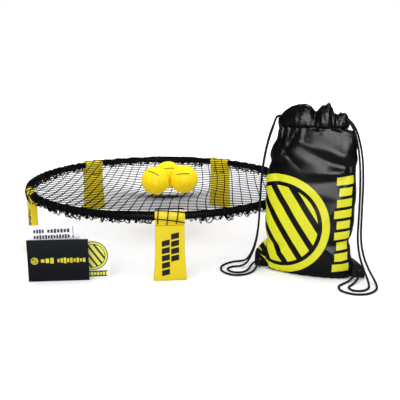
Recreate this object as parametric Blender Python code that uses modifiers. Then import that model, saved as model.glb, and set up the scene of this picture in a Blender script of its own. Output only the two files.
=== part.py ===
"""Roundnet set: a folding round net on five legs, three balls, a drawstring bag and the printed papers.

Units are metres and +Z is up. The ring stands on the floor at z = 0 and its front leg faces -Y.
Everything is laid out around the ring's centre, and one empty moves the set so that the middle of
its footprint is the origin.
"""

import math

import bmesh
import bpy
from mathutils import Matrix, Vector

# ---- driving dimensions -------------------------------------------------------------------------
GAP = 0.0003                 # clearance between pieces that touch
RING_CENTRE = (-0.0489, 0.0219)   # from the middle of the set's footprint
RIM_RADIUS = 0.4445          # centre line of the rim tube
RIM_HEIGHT = 0.187           # centre line above the floor
TUBE_RADIUS = 0.011
TUBE_WALL = 0.0022
LEG_COUNT = 5
LEG_NAMES = ("front", "right", "back_right", "back_left", "left")
RIM_STEPS = 12
TUBE_SIDES = 12
TUBE_END_GAP = 0.004         # between two tube ends inside a saddle
HOOKS_PER_TUBE = 6

SADDLE_WIDTH = 0.081
SADDLE_WALL = 0.0030
SADDLE_BORE_GAP = 0.0009
SADDLE_UNDERSIDE = 0.1618

LEG_THICKNESS = 0.020
LEG_WALL = 0.003
LEG_TOP_HALF_WIDTH = 0.0405
LEG_FLARE = 0.0065           # extra half width at the foot
FLARE_POWER = 2.2
FOOT_THICKNESS = 0.004
PIN_HEIGHT = 0.1515
PIN_RADIUS = 0.0025
LUG_HALF_WIDTH = 0.025
LUG_HALF_THICKNESS = 0.0055

NET_RADIUS = 0.4290
NET_EDGE_HEIGHT = 0.192
NET_SAG = 0.045
NET_SAG_POWER = 1.25
NET_THICKNESS = 0.0012

BALL_RADIUS = 0.0485
BALL_WALL = 0.003
BALL_PLACES = ((-0.0220, -0.0300), (0.0757, -0.0300), (0.0268, 0.0548))
BALL_NET_GAP = 0.0007
VALVE_RADIUS = 0.0026
VALVE_TILTS = ((35.0, 150.0), (40.0, 35.0), (30.0, 80.0))   # degrees from up, and heading

BAG_PLACE = (0.4120, -0.4300)
BAG_TURN = math.radians(-25.5)
CORD_DIAMETER = 0.0060
CORD_SPACING = 3 * CORD_DIAMETER
EYELET_HEIGHT = 0.019

CARD_HEIGHT = 0.122
LEAFLET_SIZE = (0.140, 0.163, 0.0020)
STICKER_SIZE = (0.096, 0.113, 0.0008)

COLOURS = {
    "leg_yellow": ((0.84, 0.68, 0.04, 1), 0.42, 0.0),
    "black_plastic": ((0.012, 0.012, 0.014, 1), 0.45, 0.0),
    "steel": ((0.55, 0.55, 0.56, 1), 0.30, 1.0),
    "net_cord": ((0.015, 0.015, 0.017, 1), 0.80, 0.0),
    "ball_yellow": ((1.0, 0.72, 0.02, 1), 0.45, 0.0),
    "valve_rubber": ((0.02, 0.02, 0.02, 1), 0.70, 0.0),
    "bag_nylon": ((0.015, 0.015, 0.018, 1), 0.32, 0.0),
    "bag_cord": ((0.012, 0.012, 0.013, 1), 0.75, 0.0),
    "black_card": ((0.015, 0.015, 0.022, 1), 0.35, 0.0),
    "white_paper": ((0.85, 0.85, 0.86, 1), 0.60, 0.0),
}

# ---- scene helpers ------------------------------------------------------------------------------


def clear_scene():
    for obj in list(bpy.data.objects):
        bpy.data.objects.remove(obj, do_unlink=True)


def make_collection(name, hidden=False):
    collection = bpy.data.collections.new(name)
    bpy.context.scene.collection.children.link(collection)
    collection.hide_render = hidden
    return collection


def make_materials():
    made = {}
    for name, (colour, roughness, metallic) in COLOURS.items():
        material = bpy.data.materials.new(name)
        material.use_nodes = True
        shader = material.node_tree.nodes["Principled BSDF"]
        shader.inputs["Base Color"].default_value = colour
        shader.inputs["Roughness"].default_value = roughness
        shader.inputs["Metallic"].default_value = metallic
        made[name] = material
    return made


clear_scene()
PARTS = make_collection("roundnet_set")
CUTTERS = make_collection("cutters", hidden=True)
MATERIALS = make_materials()


def add_object(name, data, material=None, parent=None, collection=None):
    obj = bpy.data.objects.new(name, data)
    (collection or PARTS).objects.link(obj)
    obj.parent = parent
    if material:
        obj.data.materials.append(MATERIALS[material])
    return obj


def add_copy(name, mesh, parent):
    """One more object that shares a mesh, its material included."""
    return add_object(name, mesh, parent=parent)


def add_empty(name, location=(0, 0, 0), turn=0.0, parent=None):
    empty = bpy.data.objects.new(name, None)
    PARTS.objects.link(empty)
    empty.parent = parent
    empty.location = location
    empty.rotation_euler = (0, 0, turn)
    return empty


def mesh_from(bm, name):
    bmesh.ops.recalc_face_normals(bm, faces=bm.faces)
    mesh = bpy.data.meshes.new(name)
    bm.to_mesh(mesh)
    bm.free()
    return mesh


def shade(mesh, angle=35.0):
    mesh.shade_smooth()
    mesh.set_sharp_from_angle(angle=math.radians(angle))


def as_cutter(obj):
    obj.hide_render = True
    obj.display_type = "WIRE"
    return obj


def boolean(obj, cutter, operation):
    modifier = obj.modifiers.new(f"{operation.lower()}_{cutter.name}", "BOOLEAN")
    modifier.operation = operation
    modifier.solver = "EXACT"
    modifier.object = cutter


def baked_mesh(obj, name):
    """The evaluated mesh of an object, and the object and its modifiers taken away."""
    graph = bpy.context.evaluated_depsgraph_get()
    mesh = bpy.data.meshes.new_from_object(obj.evaluated_get(graph))
    mesh.name = name
    bpy.data.objects.remove(obj, do_unlink=True)
    return mesh


# ---- shape helpers ------------------------------------------------------------------------------


def loft_into(bm, rings):
    """Adds a closed solid through rings that have the same number of points."""
    rows = [[bm.verts.new(point) for point in ring] for ring in rings]
    count = len(rows[0])
    for low, high in zip(rows, rows[1:]):
        for i in range(count):
            j = (i + 1) % count
            bm.faces.new((low[i], low[j], high[j], high[i]))
    bm.faces.new(reversed(rows[0]))
    bm.faces.new(rows[-1])


def loft(rings, name):
    bm = bmesh.new()
    loft_into(bm, rings)
    return mesh_from(bm, name)


def arc_rings(profile, start, end, steps):
    """A profile of (out, up) points about the rim's centre line, repeated along the ring's circle.

    Angles are measured from the front, -Y, anticlockwise from above.
    """
    rings = []
    for step in range(steps + 1):
        angle = start + (end - start) * step / steps
        outward = Vector((math.sin(angle), -math.cos(angle), 0))
        ring = [outward * (RIM_RADIUS + out) + Vector((0, 0, RIM_HEIGHT + up)) for out, up in profile]
        rings.append(ring)
    return rings


def arc_loft(profile, start, end, steps, name):
    return loft(arc_rings(profile, start, end, steps), name)


def circle_profile(radius, sides):
    return [
        (radius * math.cos(2 * math.pi * i / sides), radius * math.sin(2 * math.pi * i / sides))
        for i in range(sides)
    ]


def cylinder_mesh(radius, length, segments, name, matrix=None):
    bm = bmesh.new()
    bmesh.ops.create_cone(
        bm, cap_ends=True, segments=segments, radius1=radius, radius2=radius, depth=length,
        matrix=matrix or Matrix(),
    )
    return mesh_from(bm, name)


def box_mesh(low, high, name):
    bm = bmesh.new()
    size = Vector(high) - Vector(low)
    middle = (Vector(high) + Vector(low)) / 2
    bmesh.ops.create_cube(bm, size=1.0, matrix=Matrix.Translation(middle) @ Matrix.Diagonal((*size, 1)))
    return mesh_from(bm, name)


ALONG_X = Matrix.Rotation(math.radians(90), 4, "Y")

# ---- rim ----------------------------------------------------------------------------------------


# One peg under the rim, as (out, up) from the tube's lowest line: a stem with a lip that points outward.
HOOK_PROFILE = (
    (-0.0030, 0.0025), (-0.0030, -0.0088), (0.0050, -0.0088),
    (0.0050, -0.0056), (0.0010, -0.0056), (0.0010, 0.0025),
)
HOOK_WIDTH = 0.007


def hook_shapes(first, last):
    """The pegs under one rim tube that hold the net."""
    bm = bmesh.new()
    profile = [(out, up - TUBE_RADIUS) for out, up in HOOK_PROFILE]
    half = 0.5 * HOOK_WIDTH / RIM_RADIUS
    for i in range(HOOKS_PER_TUBE):
        angle = first + (last - first) * (i + 0.5) / HOOKS_PER_TUBE
        loft_into(bm, arc_rings(profile, angle - half, angle + half, 1))
    return mesh_from(bm, "hook_shapes")


def build_rim(root):
    pitch = 2 * math.pi / LEG_COUNT
    half_gap = 0.5 * TUBE_END_GAP / RIM_RADIUS
    saddle_half = 0.5 * SADDLE_WIDTH / RIM_RADIUS
    for index in range(LEG_COUNT):
        start = index * pitch + half_gap
        end = (index + 1) * pitch - half_gap
        outer = arc_loft(circle_profile(TUBE_RADIUS, TUBE_SIDES), start, end, RIM_STEPS, "rim_tube")
        bore_profile = circle_profile(TUBE_RADIUS - TUBE_WALL, TUBE_SIDES)
        inner = arc_loft(bore_profile, start - half_gap / 2, end + half_gap / 2, RIM_STEPS, "rim_bore")
        tube = add_object(f"rim_tube_{index + 1}", outer, "black_plastic", root)
        bore = as_cutter(add_object(f"rim_bore_{index + 1}", inner, parent=root, collection=CUTTERS))
        hook_mesh = hook_shapes(start + 1.35 * saddle_half, end - 1.35 * saddle_half)
        hooks = as_cutter(add_object(f"hooks_{index + 1}", hook_mesh, parent=root, collection=CUTTERS))
        boolean(tube, hooks, "UNION")
        boolean(tube, bore, "DIFFERENCE")
        shade(outer)


# ---- saddles and legs ---------------------------------------------------------------------------


def saddle_profile():
    """The yellow sleeve round the rim: a round crown, then sides that draw in to the leg's thickness."""
    crown = TUBE_RADIUS + SADDLE_WALL
    half_leg = LEG_THICKNESS / 2
    underside = SADDLE_UNDERSIDE - RIM_HEIGHT
    points = []
    for i in range(9):
        angle = math.pi * i / 8
        points.append((crown * math.cos(angle), crown * math.sin(angle)))
    points += [(-crown, -0.005), (-half_leg, -0.0145), (-half_leg, underside)]
    points += [(half_leg, underside), (half_leg, -0.0145), (crown, -0.005)]
    return points


def build_saddle_mesh():
    """The sleeve is made at the front of the ring, in the front leg's frame."""
    half = 0.5 * SADDLE_WIDTH / RIM_RADIUS
    sleeve = add_object("sleeve", arc_loft(saddle_profile(), -half, half, 6, "leg_saddle"), collection=CUTTERS)
    bore_profile = circle_profile(TUBE_RADIUS + SADDLE_BORE_GAP, TUBE_SIDES)
    bore_mesh = arc_loft(bore_profile, -1.2 * half, 1.2 * half, 6, "saddle_bore")
    bore = as_cutter(add_object("saddle_bore", bore_mesh, collection=CUTTERS))
    rings = []
    for x in (-LUG_HALF_WIDTH, LUG_HALF_WIDTH):
        ring = []
        for i in range(7):
            angle = math.pi + math.pi * i / 6
            ring.append((x, -RIM_RADIUS + LUG_HALF_THICKNESS * math.cos(angle),
                         PIN_HEIGHT + LUG_HALF_THICKNESS * math.sin(angle)))
        top = SADDLE_UNDERSIDE + 0.004
        ring.append((x, -RIM_RADIUS + LUG_HALF_THICKNESS, top))
        ring.append((x, -RIM_RADIUS - LUG_HALF_THICKNESS, top))
        rings.append(ring)
    lug = as_cutter(add_object("lug", loft(rings, "lug"), collection=CUTTERS))
    pin_hole_mesh = cylinder_mesh(PIN_RADIUS + GAP, 2.5 * LUG_HALF_WIDTH, 12, "lug_hole", ALONG_X)
    pin_hole = as_cutter(add_object("lug_hole", pin_hole_mesh, collection=CUTTERS))
    pin_hole.location = (0, -RIM_RADIUS, PIN_HEIGHT)
    boolean(sleeve, lug, "UNION")
    boolean(sleeve, bore, "DIFFERENCE")
    boolean(sleeve, pin_hole, "DIFFERENCE")
    mesh = baked_mesh(sleeve, "leg_saddle")
    mesh.materials.clear()
    mesh.materials.append(MATERIALS["leg_yellow"])
    shade(mesh)
    return mesh


def leg_half_width(drop):
    """Half width at a height given as the distance below the pin; it flares towards the foot."""
    share = max(0.0, drop) / PIN_HEIGHT
    return LEG_TOP_HALF_WIDTH + LEG_FLARE * share**FLARE_POWER


def leg_ring(z, inset, top_radius):
    """A rectangle at height z from the pin; above the pin the inner face follows a circle about it."""
    half = leg_half_width(-z) - inset
    outer = -(LEG_THICKNESS / 2 - inset)
    inner = LEG_THICKNESS / 2 - inset
    if z > 0:
        inner = math.sqrt(max(0.0, top_radius**2 - z**2)) + 0.0002
    return [(-half, outer, z), (half, outer, z), (half, inner, z), (-half, inner, z)]


def build_leg_mesh():
    """The folding leg, with its origin on the hinge axis and its foot at -PIN_HEIGHT."""
    radius = LEG_THICKNESS / 2
    foot = -PIN_HEIGHT
    chamfer = 0.0015
    heights = [foot + chamfer, foot + 0.012, foot + 0.030, foot + 0.055, foot + 0.090, foot + 0.125]
    crown = [radius * math.sin(math.radians(a)) for a in (0, 22, 44, 66, 84)]
    rings = [leg_ring(z, 0.0, radius) for z in heights + crown]
    first = [(x * 0.985, y * 0.85, foot) for x, y, z in rings[0]]
    shell = add_object("leg_shell", loft([first] + rings, "leg_plate"), collection=CUTTERS)
    inner_radius = radius - LEG_WALL
    levels = [foot + FOOT_THICKNESS] + heights[1:] + [inner_radius * math.sin(math.radians(a)) for a in (0, 40, 75)]
    hollow_mesh = loft([leg_ring(z, LEG_WALL, inner_radius) for z in levels], "leg_hollow")
    hollow = as_cutter(add_object("leg_hollow", hollow_mesh, collection=CUTTERS))
    slot_half = LUG_HALF_WIDTH + 0.001
    slot_mesh = box_mesh((-slot_half, LEG_WALL - radius + 0.0002, -0.0075), (slot_half, 0.02, 0.02), "leg_slot")
    slot = as_cutter(add_object("leg_slot", slot_mesh, collection=CUTTERS))
    hole_mesh = cylinder_mesh(PIN_RADIUS + GAP, 0.12, 12, "leg_hole", ALONG_X)
    hole = as_cutter(add_object("leg_hole", hole_mesh, collection=CUTTERS))
    for cutter in (hollow, slot, hole):
        boolean(shell, cutter, "DIFFERENCE")
    mesh = baked_mesh(shell, "leg_plate")
    mesh.materials.clear()
    mesh.materials.append(MATERIALS["leg_yellow"])
    shade(mesh)
    return mesh


def build_legs(root):
    saddle_mesh = build_saddle_mesh()
    leg_mesh = build_leg_mesh()
    pin_mesh = cylinder_mesh(PIN_RADIUS, 2 * LEG_TOP_HALF_WIDTH - 0.0008, 12, "hinge_pin", ALONG_X)
    pin_mesh.materials.append(MATERIALS["steel"])
    shade(pin_mesh)
    for index, name in enumerate(LEG_NAMES):
        frame = add_empty(f"leg_frame_{name}", turn=index * 2 * math.pi / LEG_COUNT, parent=root)
        add_copy(f"leg_saddle_{name}", saddle_mesh, frame)
        for node, mesh in ((f"leg_plate_{name}", leg_mesh), (f"hinge_pin_{name}", pin_mesh)):
            piece = add_copy(node, mesh, frame)
            piece.location = (0, -RIM_RADIUS, PIN_HEIGHT)


# ---- net ----------------------------------------------------------------------------------------


def net_height(radius):
    """The top of the net: it hangs between the rim and the balls."""
    return NET_EDGE_HEIGHT - NET_SAG * (1 - (radius / NET_RADIUS) ** NET_SAG_POWER)


def build_net(root):
    """A thin turned sheet stands for the stretched net inside the rim."""
    stations = [NET_RADIUS * share for share in (0.0, 0.12, 0.3, 0.5, 0.75, 1.0)]
    top = [(r, 0, net_height(r)) for r in stations]
    bottom = [(r, 0, net_height(r) - NET_THICKNESS) for r in reversed(stations)]
    bm = bmesh.new()
    verts = [bm.verts.new(point) for point in top + bottom]
    for first, second in zip(verts, verts[1:]):
        bm.edges.new((first, second))
    mesh = bpy.data.meshes.new("net")
    bm.to_mesh(mesh)
    bm.free()
    net = add_object("net", mesh, "net_cord", root)
    screw = net.modifiers.new("turn", "SCREW")
    screw.axis = "Z"
    screw.steps = 36
    screw.render_steps = 36
    screw.use_merge_vertices = True
    screw.merge_threshold = 0.00005
    screw.use_smooth_shade = True


# ---- balls --------------------------------------------------------------------------------------


def valve_matrix(tilt, heading):
    """Turns +Z to the valve's direction."""
    return Matrix.Rotation(math.radians(heading), 4, "Z") @ Matrix.Rotation(math.radians(tilt), 4, "Y")


def sphere_mesh(radius, segments, rings, name):
    bm = bmesh.new()
    bmesh.ops.create_uvsphere(bm, u_segments=segments, v_segments=rings, radius=radius)
    return mesh_from(bm, name)


def build_balls(root):
    for index, ((x, y), (tilt, heading)) in enumerate(zip(BALL_PLACES, VALVE_TILTS), 1):
        centre = (x, y, net_height(math.hypot(x, y)) + BALL_RADIUS + BALL_NET_GAP)
        outer = sphere_mesh(BALL_RADIUS, 16, 10, "ball")
        ball = add_object(f"ball_{index}", outer, "ball_yellow", root)
        ball.location = centre
        shade(outer, 80.0)
        turn = valve_matrix(tilt, heading)
        hollow_mesh = sphere_mesh(BALL_RADIUS - BALL_WALL, 10, 7, "ball_hollow")
        hollow = add_object(f"ball_hollow_{index}", hollow_mesh, parent=root, collection=CUTTERS)
        place = turn @ Matrix.Translation((0, 0, BALL_RADIUS - 0.004))
        hole_mesh = cylinder_mesh(VALVE_RADIUS + 0.0004, 0.020, 10, "valve_hole", place)
        hole = add_object(f"valve_hole_{index}", hole_mesh, parent=root, collection=CUTTERS)
        for cutter in (hollow, hole):
            as_cutter(cutter).location = centre
            boolean(ball, cutter, "DIFFERENCE")
        plug_place = turn @ Matrix.Translation((0, 0, BALL_RADIUS - 0.0052))
        plug = cylinder_mesh(VALVE_RADIUS, 0.008, 10, "ball_valve", plug_place)
        valve = add_object(f"ball_valve_{index}", plug, "valve_rubber", root)
        valve.location = centre
        shade(plug)


# ---- bag ----------------------------------------------------------------------------------------

# height, left edge, right edge, half depth
BAG_SECTIONS = (
    (0.0000, -0.118, 0.110, 0.034),
    (0.0120, -0.129, 0.119, 0.042),
    (0.0400, -0.131, 0.119, 0.047),
    (0.0950, -0.130, 0.106, 0.049),
    (0.1400, -0.134, 0.112, 0.050),
    (0.2000, -0.137, 0.116, 0.050),
    (0.2800, -0.138, 0.113, 0.048),
    (0.3500, -0.127, 0.110, 0.043),
    (0.4100, -0.114, 0.098, 0.036),
    (0.4420, -0.106, 0.080, 0.029),
    (0.4700, -0.088, 0.066, 0.021),
    (0.4860, -0.056, 0.044, 0.012),
)
BAG_ROUND = 28
BAG_SQUARENESS = 2.3


def bag_ring(z, left, right, half_depth):
    """A rounded cross-section, thin at the side seams."""
    middle = (left + right) / 2
    half = (right - left) / 2
    ring = []
    for i in range(BAG_ROUND):
        angle = 2 * math.pi * i / BAG_ROUND
        across = math.copysign(abs(math.cos(angle)) ** (2 / BAG_SQUARENESS), math.cos(angle))
        deep = math.copysign(abs(math.sin(angle)) ** (2 / BAG_SQUARENESS), math.sin(angle))
        ring.append((middle + half * across, half_depth * deep, z))
    return ring


# The outline of the right corner tab as (outward from the bag's middle, up), and its eyelet's place.
TAB_OUTLINE = ((0.1225, 0.0004), (0.1560, 0.0004), (0.1530, 0.0280), (0.1225, 0.0560))
TAB_THICKNESS = 0.0024
EYELET_OUT = 0.1420
EYELET_BARREL = 0.0040
EYELET_FLANGE = 0.0064
EYELET_BORE = 0.0030
LEFT_SHIFT = 0.0105          # the left corner stands this much further out


def build_tab(name, side, shift, bag):
    """A flat reinforcement sewn on a bottom corner, with a hole for the eyelet."""
    rings = [[(side * (x + shift), y, z) for x, z in TAB_OUTLINE] for y in (-TAB_THICKNESS / 2, TAB_THICKNESS / 2)]
    tab = add_object(name, loft(rings, "corner_tab"), "bag_nylon", bag)
    across = Matrix.Rotation(math.radians(90), 4, "X")
    hole_mesh = cylinder_mesh(EYELET_BARREL + GAP, 0.02, 14, "eyelet_hole", across)
    hole = as_cutter(add_object(f"{name}_hole", hole_mesh, parent=bag, collection=CUTTERS))
    hole.location = (side * (EYELET_OUT + shift), 0, EYELET_HEIGHT)
    boolean(tab, hole, "DIFFERENCE")


def build_eyelet(name, side, shift, bag):
    """A turned ring with a barrel through the tab and a flange on each face."""
    face = TAB_THICKNESS / 2 + GAP
    edge = face + 0.0010
    profile = [
        (EYELET_BORE, edge), (EYELET_FLANGE, edge), (EYELET_FLANGE, face), (EYELET_BARREL, face),
        (EYELET_BARREL, -face), (EYELET_FLANGE, -face), (EYELET_FLANGE, -edge), (EYELET_BORE, -edge),
    ]
    bm = bmesh.new()
    verts = [bm.verts.new((r, 0, z)) for r, z in profile]
    for first, second in zip(verts, verts[1:] + verts[:1]):
        bm.edges.new((first, second))
    mesh = bpy.data.meshes.new("eyelet")
    bm.to_mesh(mesh)
    bm.free()
    eyelet = add_object(name, mesh, "steel", bag)
    eyelet.location = (side * (EYELET_OUT + shift), 0, EYELET_HEIGHT)
    eyelet.rotation_euler = (math.radians(90), 0, 0)
    screw = eyelet.modifiers.new("turn", "SCREW")
    screw.steps = 12
    screw.render_steps = 12
    screw.use_merge_vertices = True
    screw.merge_threshold = 0.00005


KNOT_SIZE = (0.0085, 0.0060, 0.0075)
KNOT_FRONT = -0.0092


def build_knot(name, side, shift, bag):
    """The knot that ties both cord ends off in front of the eyelet."""
    bm = bmesh.new()
    bmesh.ops.create_uvsphere(bm, u_segments=12, v_segments=8, radius=1.0,
                              matrix=Matrix.Diagonal((*KNOT_SIZE, 1)))
    mesh = mesh_from(bm, "cord_knot")
    shade(mesh, 80.0)
    knot = add_object(name, mesh, "bag_cord", bag)
    knot.location = (side * (EYELET_OUT + shift), KNOT_FRONT, EYELET_HEIGHT)


# Cord routes in the bag's frame: x to the right, -y to the front, z up.
CORD_ROUTES = {
    "drawcord_left_outer": (
        (-0.1130, -0.0060, 0.4520), (-0.1200, -0.0080, 0.4340), (-0.1320, -0.0120, 0.3970),
        (-0.1430, -0.0160, 0.3400), (-0.1490, -0.0190, 0.2750), (-0.1510, -0.0200, 0.2000),
        (-0.1550, -0.0160, 0.1300), (-0.1640, -0.0070, 0.0800), (-0.1780, 0.0040, 0.0400),
        (-0.1960, 0.0120, 0.0120), (-0.2190, 0.0110, 0.0030), (-0.2430, -0.0120, 0.0026),
        (-0.2560, -0.0500, 0.0026), (-0.2420, -0.0880, 0.0026), (-0.2080, -0.1060, 0.0026),
        (-0.1740, -0.0920, 0.0026), (-0.1570, -0.0580, 0.0040), (-0.1530, -0.0310, 0.0110),
        (-0.1525, -0.0175, 0.0176),
    ),
    "drawcord_left_inner": (
        (-0.1120, -0.0160, 0.4500), (-0.1210, -0.0200, 0.4200), (-0.1340, -0.0260, 0.3700),
        (-0.1440, -0.0310, 0.3000), (-0.1480, -0.0340, 0.2200), (-0.1500, -0.0330, 0.1500),
        (-0.1570, -0.0290, 0.0900), (-0.1690, -0.0260, 0.0480), (-0.1860, -0.0270, 0.0150),
        (-0.2060, -0.0310, 0.0034), (-0.2260, -0.0430, 0.0026), (-0.2330, -0.0640, 0.0026),
        (-0.2150, -0.0840, 0.0026), (-0.1890, -0.0790, 0.0026), (-0.1750, -0.0570, 0.0040),
        (-0.1705, -0.0340, 0.0100), (-0.1635, -0.0160, 0.0176),
    ),
    "drawcord_right_outer": (
        (0.0830, 0.0050, 0.4490), (0.1020, 0.0050, 0.4260), (0.1160, 0.0040, 0.3900),
        (0.1270, 0.0020, 0.3400), (0.1330, 0.0000, 0.2700), (0.1350, -0.0020, 0.1900),
        (0.1380, -0.0040, 0.1200), (0.1480, -0.0070, 0.0720), (0.1650, -0.0140, 0.0350),
        (0.1830, -0.0280, 0.0100), (0.1910, -0.0510, 0.0030), (0.1900, -0.0850, 0.0026),
        (0.1720, -0.1180, 0.0026), (0.1380, -0.1330, 0.0026), (0.1040, -0.1220, 0.0026),
        (0.0930, -0.0940, 0.0026), (0.1020, -0.0690, 0.0026), (0.1150, -0.0480, 0.0050),
        (0.1260, -0.0280, 0.0110), (0.1330, -0.0150, 0.0170),
    ),
    "drawcord_right_inner": (
        (0.0830, -0.0060, 0.4470), (0.1010, -0.0090, 0.4180), (0.1140, -0.0110, 0.3760),
        (0.1225, -0.0130, 0.3200), (0.1270, -0.0140, 0.2500), (0.1285, -0.0150, 0.1800),
        (0.1300, -0.0170, 0.1200), (0.1390, -0.0260, 0.0740), (0.1540, -0.0380, 0.0380),
        (0.1680, -0.0540, 0.0120), (0.1710, -0.0770, 0.0030), (0.1570, -0.1020, 0.0026),
        (0.1320, -0.1080, 0.0026), (0.1190, -0.0900, 0.0026), (0.1270, -0.0660, 0.0034),
        (0.1370, -0.0410, 0.0090), (0.1410, -0.0190, 0.0160),
    ),
}


def smooth_route(points, spacing):
    """Evenly spaced points on a Catmull-Rom curve through the route's own points."""
    route = [Vector(point) for point in points]
    padded = [2 * route[0] - route[1]] + route + [2 * route[-1] - route[-2]]
    fine = []
    for before, start, end, after in zip(padded, padded[1:], padded[2:], padded[3:]):
        for step in range(16):
            t = step / 16
            fine.append(0.5 * (2 * start + (end - before) * t
                               + (2 * before - 5 * start + 4 * end - after) * t**2
                               + (3 * start - before - 3 * end + after) * t**3))
    fine.append(route[-1])
    lengths = [0.0]
    for first, second in zip(fine, fine[1:]):
        lengths.append(lengths[-1] + (second - first).length)
    count = max(2, round(lengths[-1] / spacing))
    even = []
    place = 0
    for step in range(count + 1):
        target = lengths[-1] * step / count
        while place < len(fine) - 2 and lengths[place + 1] < target:
            place += 1
        span = lengths[place + 1] - lengths[place]
        point = fine[place].lerp(fine[place + 1], (target - lengths[place]) / span)
        point.z = max(point.z, CORD_DIAMETER / 2 + GAP)
        even.append(point)
    return even


def build_cord(name, points, bag):
    curve = bpy.data.curves.new(name, "CURVE")
    curve.dimensions = "3D"
    curve.bevel_depth = CORD_DIAMETER / 2
    curve.bevel_resolution = 2
    curve.use_fill_caps = True
    even = smooth_route(points, CORD_SPACING)
    spline = curve.splines.new("POLY")
    spline.points.add(len(even) - 1)
    for spot, point in zip(spline.points, even):
        spot.co = (*point, 1)
    add_object(name, curve, "bag_cord", bag)


def build_bag(root):
    bag = add_empty("bag_frame", (*BAG_PLACE, 0), BAG_TURN, root)
    body = loft([bag_ring(*section) for section in BAG_SECTIONS], "bag_body")
    shade(body, 60.0)
    add_object("bag_body", body, "bag_nylon", bag)
    for word, side, shift in (("left", -1, LEFT_SHIFT), ("right", 1, 0.0)):
        build_tab(f"bag_tab_{word}", side, shift, bag)
        build_eyelet(f"bag_eyelet_{word}", side, shift, bag)
        build_knot(f"cord_knot_{word}", side, shift, bag)
    for name, points in CORD_ROUTES.items():
        build_cord(name, points, bag)


# ---- papers -------------------------------------------------------------------------------------


def upright_sheet(name, outline, height, material, root):
    """A flat outline on the floor, drawn up to the sheet's height."""
    curve = bpy.data.curves.new(name, "CURVE")
    curve.dimensions = "2D"
    curve.fill_mode = "BOTH"
    curve.extrude = height / 2
    spline = curve.splines.new("POLY")
    spline.points.add(len(outline) - 1)
    for spot, (x, y) in zip(spline.points, outline):
        spot.co = (x, y, 0, 1)
    spline.use_cyclic_u = True
    sheet = add_object(name, curve, material, root)
    sheet.location = (0, 0, height / 2)


def slab_outline(start, end, thickness):
    """The four corners of a straight sheet seen from above, its front face on start-end."""
    along = (Vector(end) - Vector(start)).normalized()
    back = Vector((-along.y, along.x)) * thickness
    return [tuple(Vector(start)), tuple(Vector(end)), tuple(Vector(end) + back), tuple(Vector(start) + back)]


def build_papers(root):
    """A card folded round a narrow spine stands a little open; the other two papers stand in it."""
    front_left = Vector((-0.3950, -0.4235))
    front_right = Vector((-0.2270, -0.4275))
    back_left = Vector((-0.3950, -0.4185))
    back_right = Vector((-0.2285, -0.4030))
    skin = 0.0007
    inside = Vector((skin, skin))
    outline = [
        front_left, front_right, front_right + Vector((0, skin)), front_left + inside,
        back_left + Vector((skin, -skin)), back_right - Vector((0, skin)), back_right, back_left,
    ]
    upright_sheet("folded_card", [tuple(point) for point in outline], CARD_HEIGHT, "black_card", root)
    width, height, thickness = LEAFLET_SIZE
    start = Vector((-0.3890, -0.4220))
    leaflet = slab_outline(start, start + width * Vector((0.9992, 0.0393)), thickness)
    upright_sheet("leaflet", leaflet, height, "white_paper", root)
    width, height, thickness = STICKER_SIZE
    start = Vector((-0.2660, -0.4118))
    sticker = slab_outline(start, start + width * Vector((1.0, 0.002)), thickness)
    upright_sheet("sticker_card", sticker, height, "white_paper", root)


# ---- the whole set ------------------------------------------------------------------------------


def main():
    root = add_empty("set_origin", (*RING_CENTRE, 0))
    build_rim(root)
    build_legs(root)
    build_net(root)
    build_balls(root)
    build_bag(root)
    build_papers(root)


main()
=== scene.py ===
"""Looks of a roundnet set: net and rim on five folding legs, balls, a stuffed drawstring bag and papers."""

import logging
import math
import random
from dataclasses import dataclass, field
from enum import Enum
from functools import reduce
from typing import Callable, Iterable, Sequence

import bmesh
import bpy
import numpy as np
from mathutils import Matrix, Vector, noise


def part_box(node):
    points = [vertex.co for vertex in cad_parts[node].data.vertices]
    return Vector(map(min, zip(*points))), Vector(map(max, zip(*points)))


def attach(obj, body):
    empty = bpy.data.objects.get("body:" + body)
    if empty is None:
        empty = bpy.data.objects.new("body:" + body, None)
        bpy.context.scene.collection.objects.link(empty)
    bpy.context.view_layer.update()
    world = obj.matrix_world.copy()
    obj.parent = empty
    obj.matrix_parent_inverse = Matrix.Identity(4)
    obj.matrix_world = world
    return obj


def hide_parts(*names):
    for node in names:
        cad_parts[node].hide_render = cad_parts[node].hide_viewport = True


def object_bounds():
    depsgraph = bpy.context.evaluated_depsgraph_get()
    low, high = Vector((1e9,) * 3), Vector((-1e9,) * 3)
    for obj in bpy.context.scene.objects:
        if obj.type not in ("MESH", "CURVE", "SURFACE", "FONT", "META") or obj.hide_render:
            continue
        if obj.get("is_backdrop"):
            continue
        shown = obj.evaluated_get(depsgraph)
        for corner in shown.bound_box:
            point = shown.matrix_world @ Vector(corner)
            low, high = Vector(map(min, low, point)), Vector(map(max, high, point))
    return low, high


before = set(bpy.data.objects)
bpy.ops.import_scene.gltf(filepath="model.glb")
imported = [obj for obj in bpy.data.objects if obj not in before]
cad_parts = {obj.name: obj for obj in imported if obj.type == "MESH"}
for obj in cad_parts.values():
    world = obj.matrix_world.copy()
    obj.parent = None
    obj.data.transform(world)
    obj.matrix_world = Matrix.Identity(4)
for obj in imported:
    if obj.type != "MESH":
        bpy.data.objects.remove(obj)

log = logging.getLogger("roundnet_set")

Pair = tuple[float, float]
Point = tuple[float, float, float]
Colour = tuple[float, float, float, float]
Mesh = bpy.types.Mesh
Material = bpy.types.Material

LEGS = ("front", "right", "back_right", "back_left", "left")
TURN = 2 * math.pi
MM = 0.001
FAR_OFF = (1.0, 1.0)  # a place on a printed map that lies outside every print


class Body(Enum):
    """The moving bodies that pieces ride on."""

    RING = "ring"
    BAG = "bag"
    CARD = "folded_card"
    LEAFLET = "leaflet"
    STICKER = "sticker_card"


class Reach(Enum):
    """What a light does to a surface."""

    MATT = "lights it"
    GLOSS = "shows in its gloss"


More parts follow.
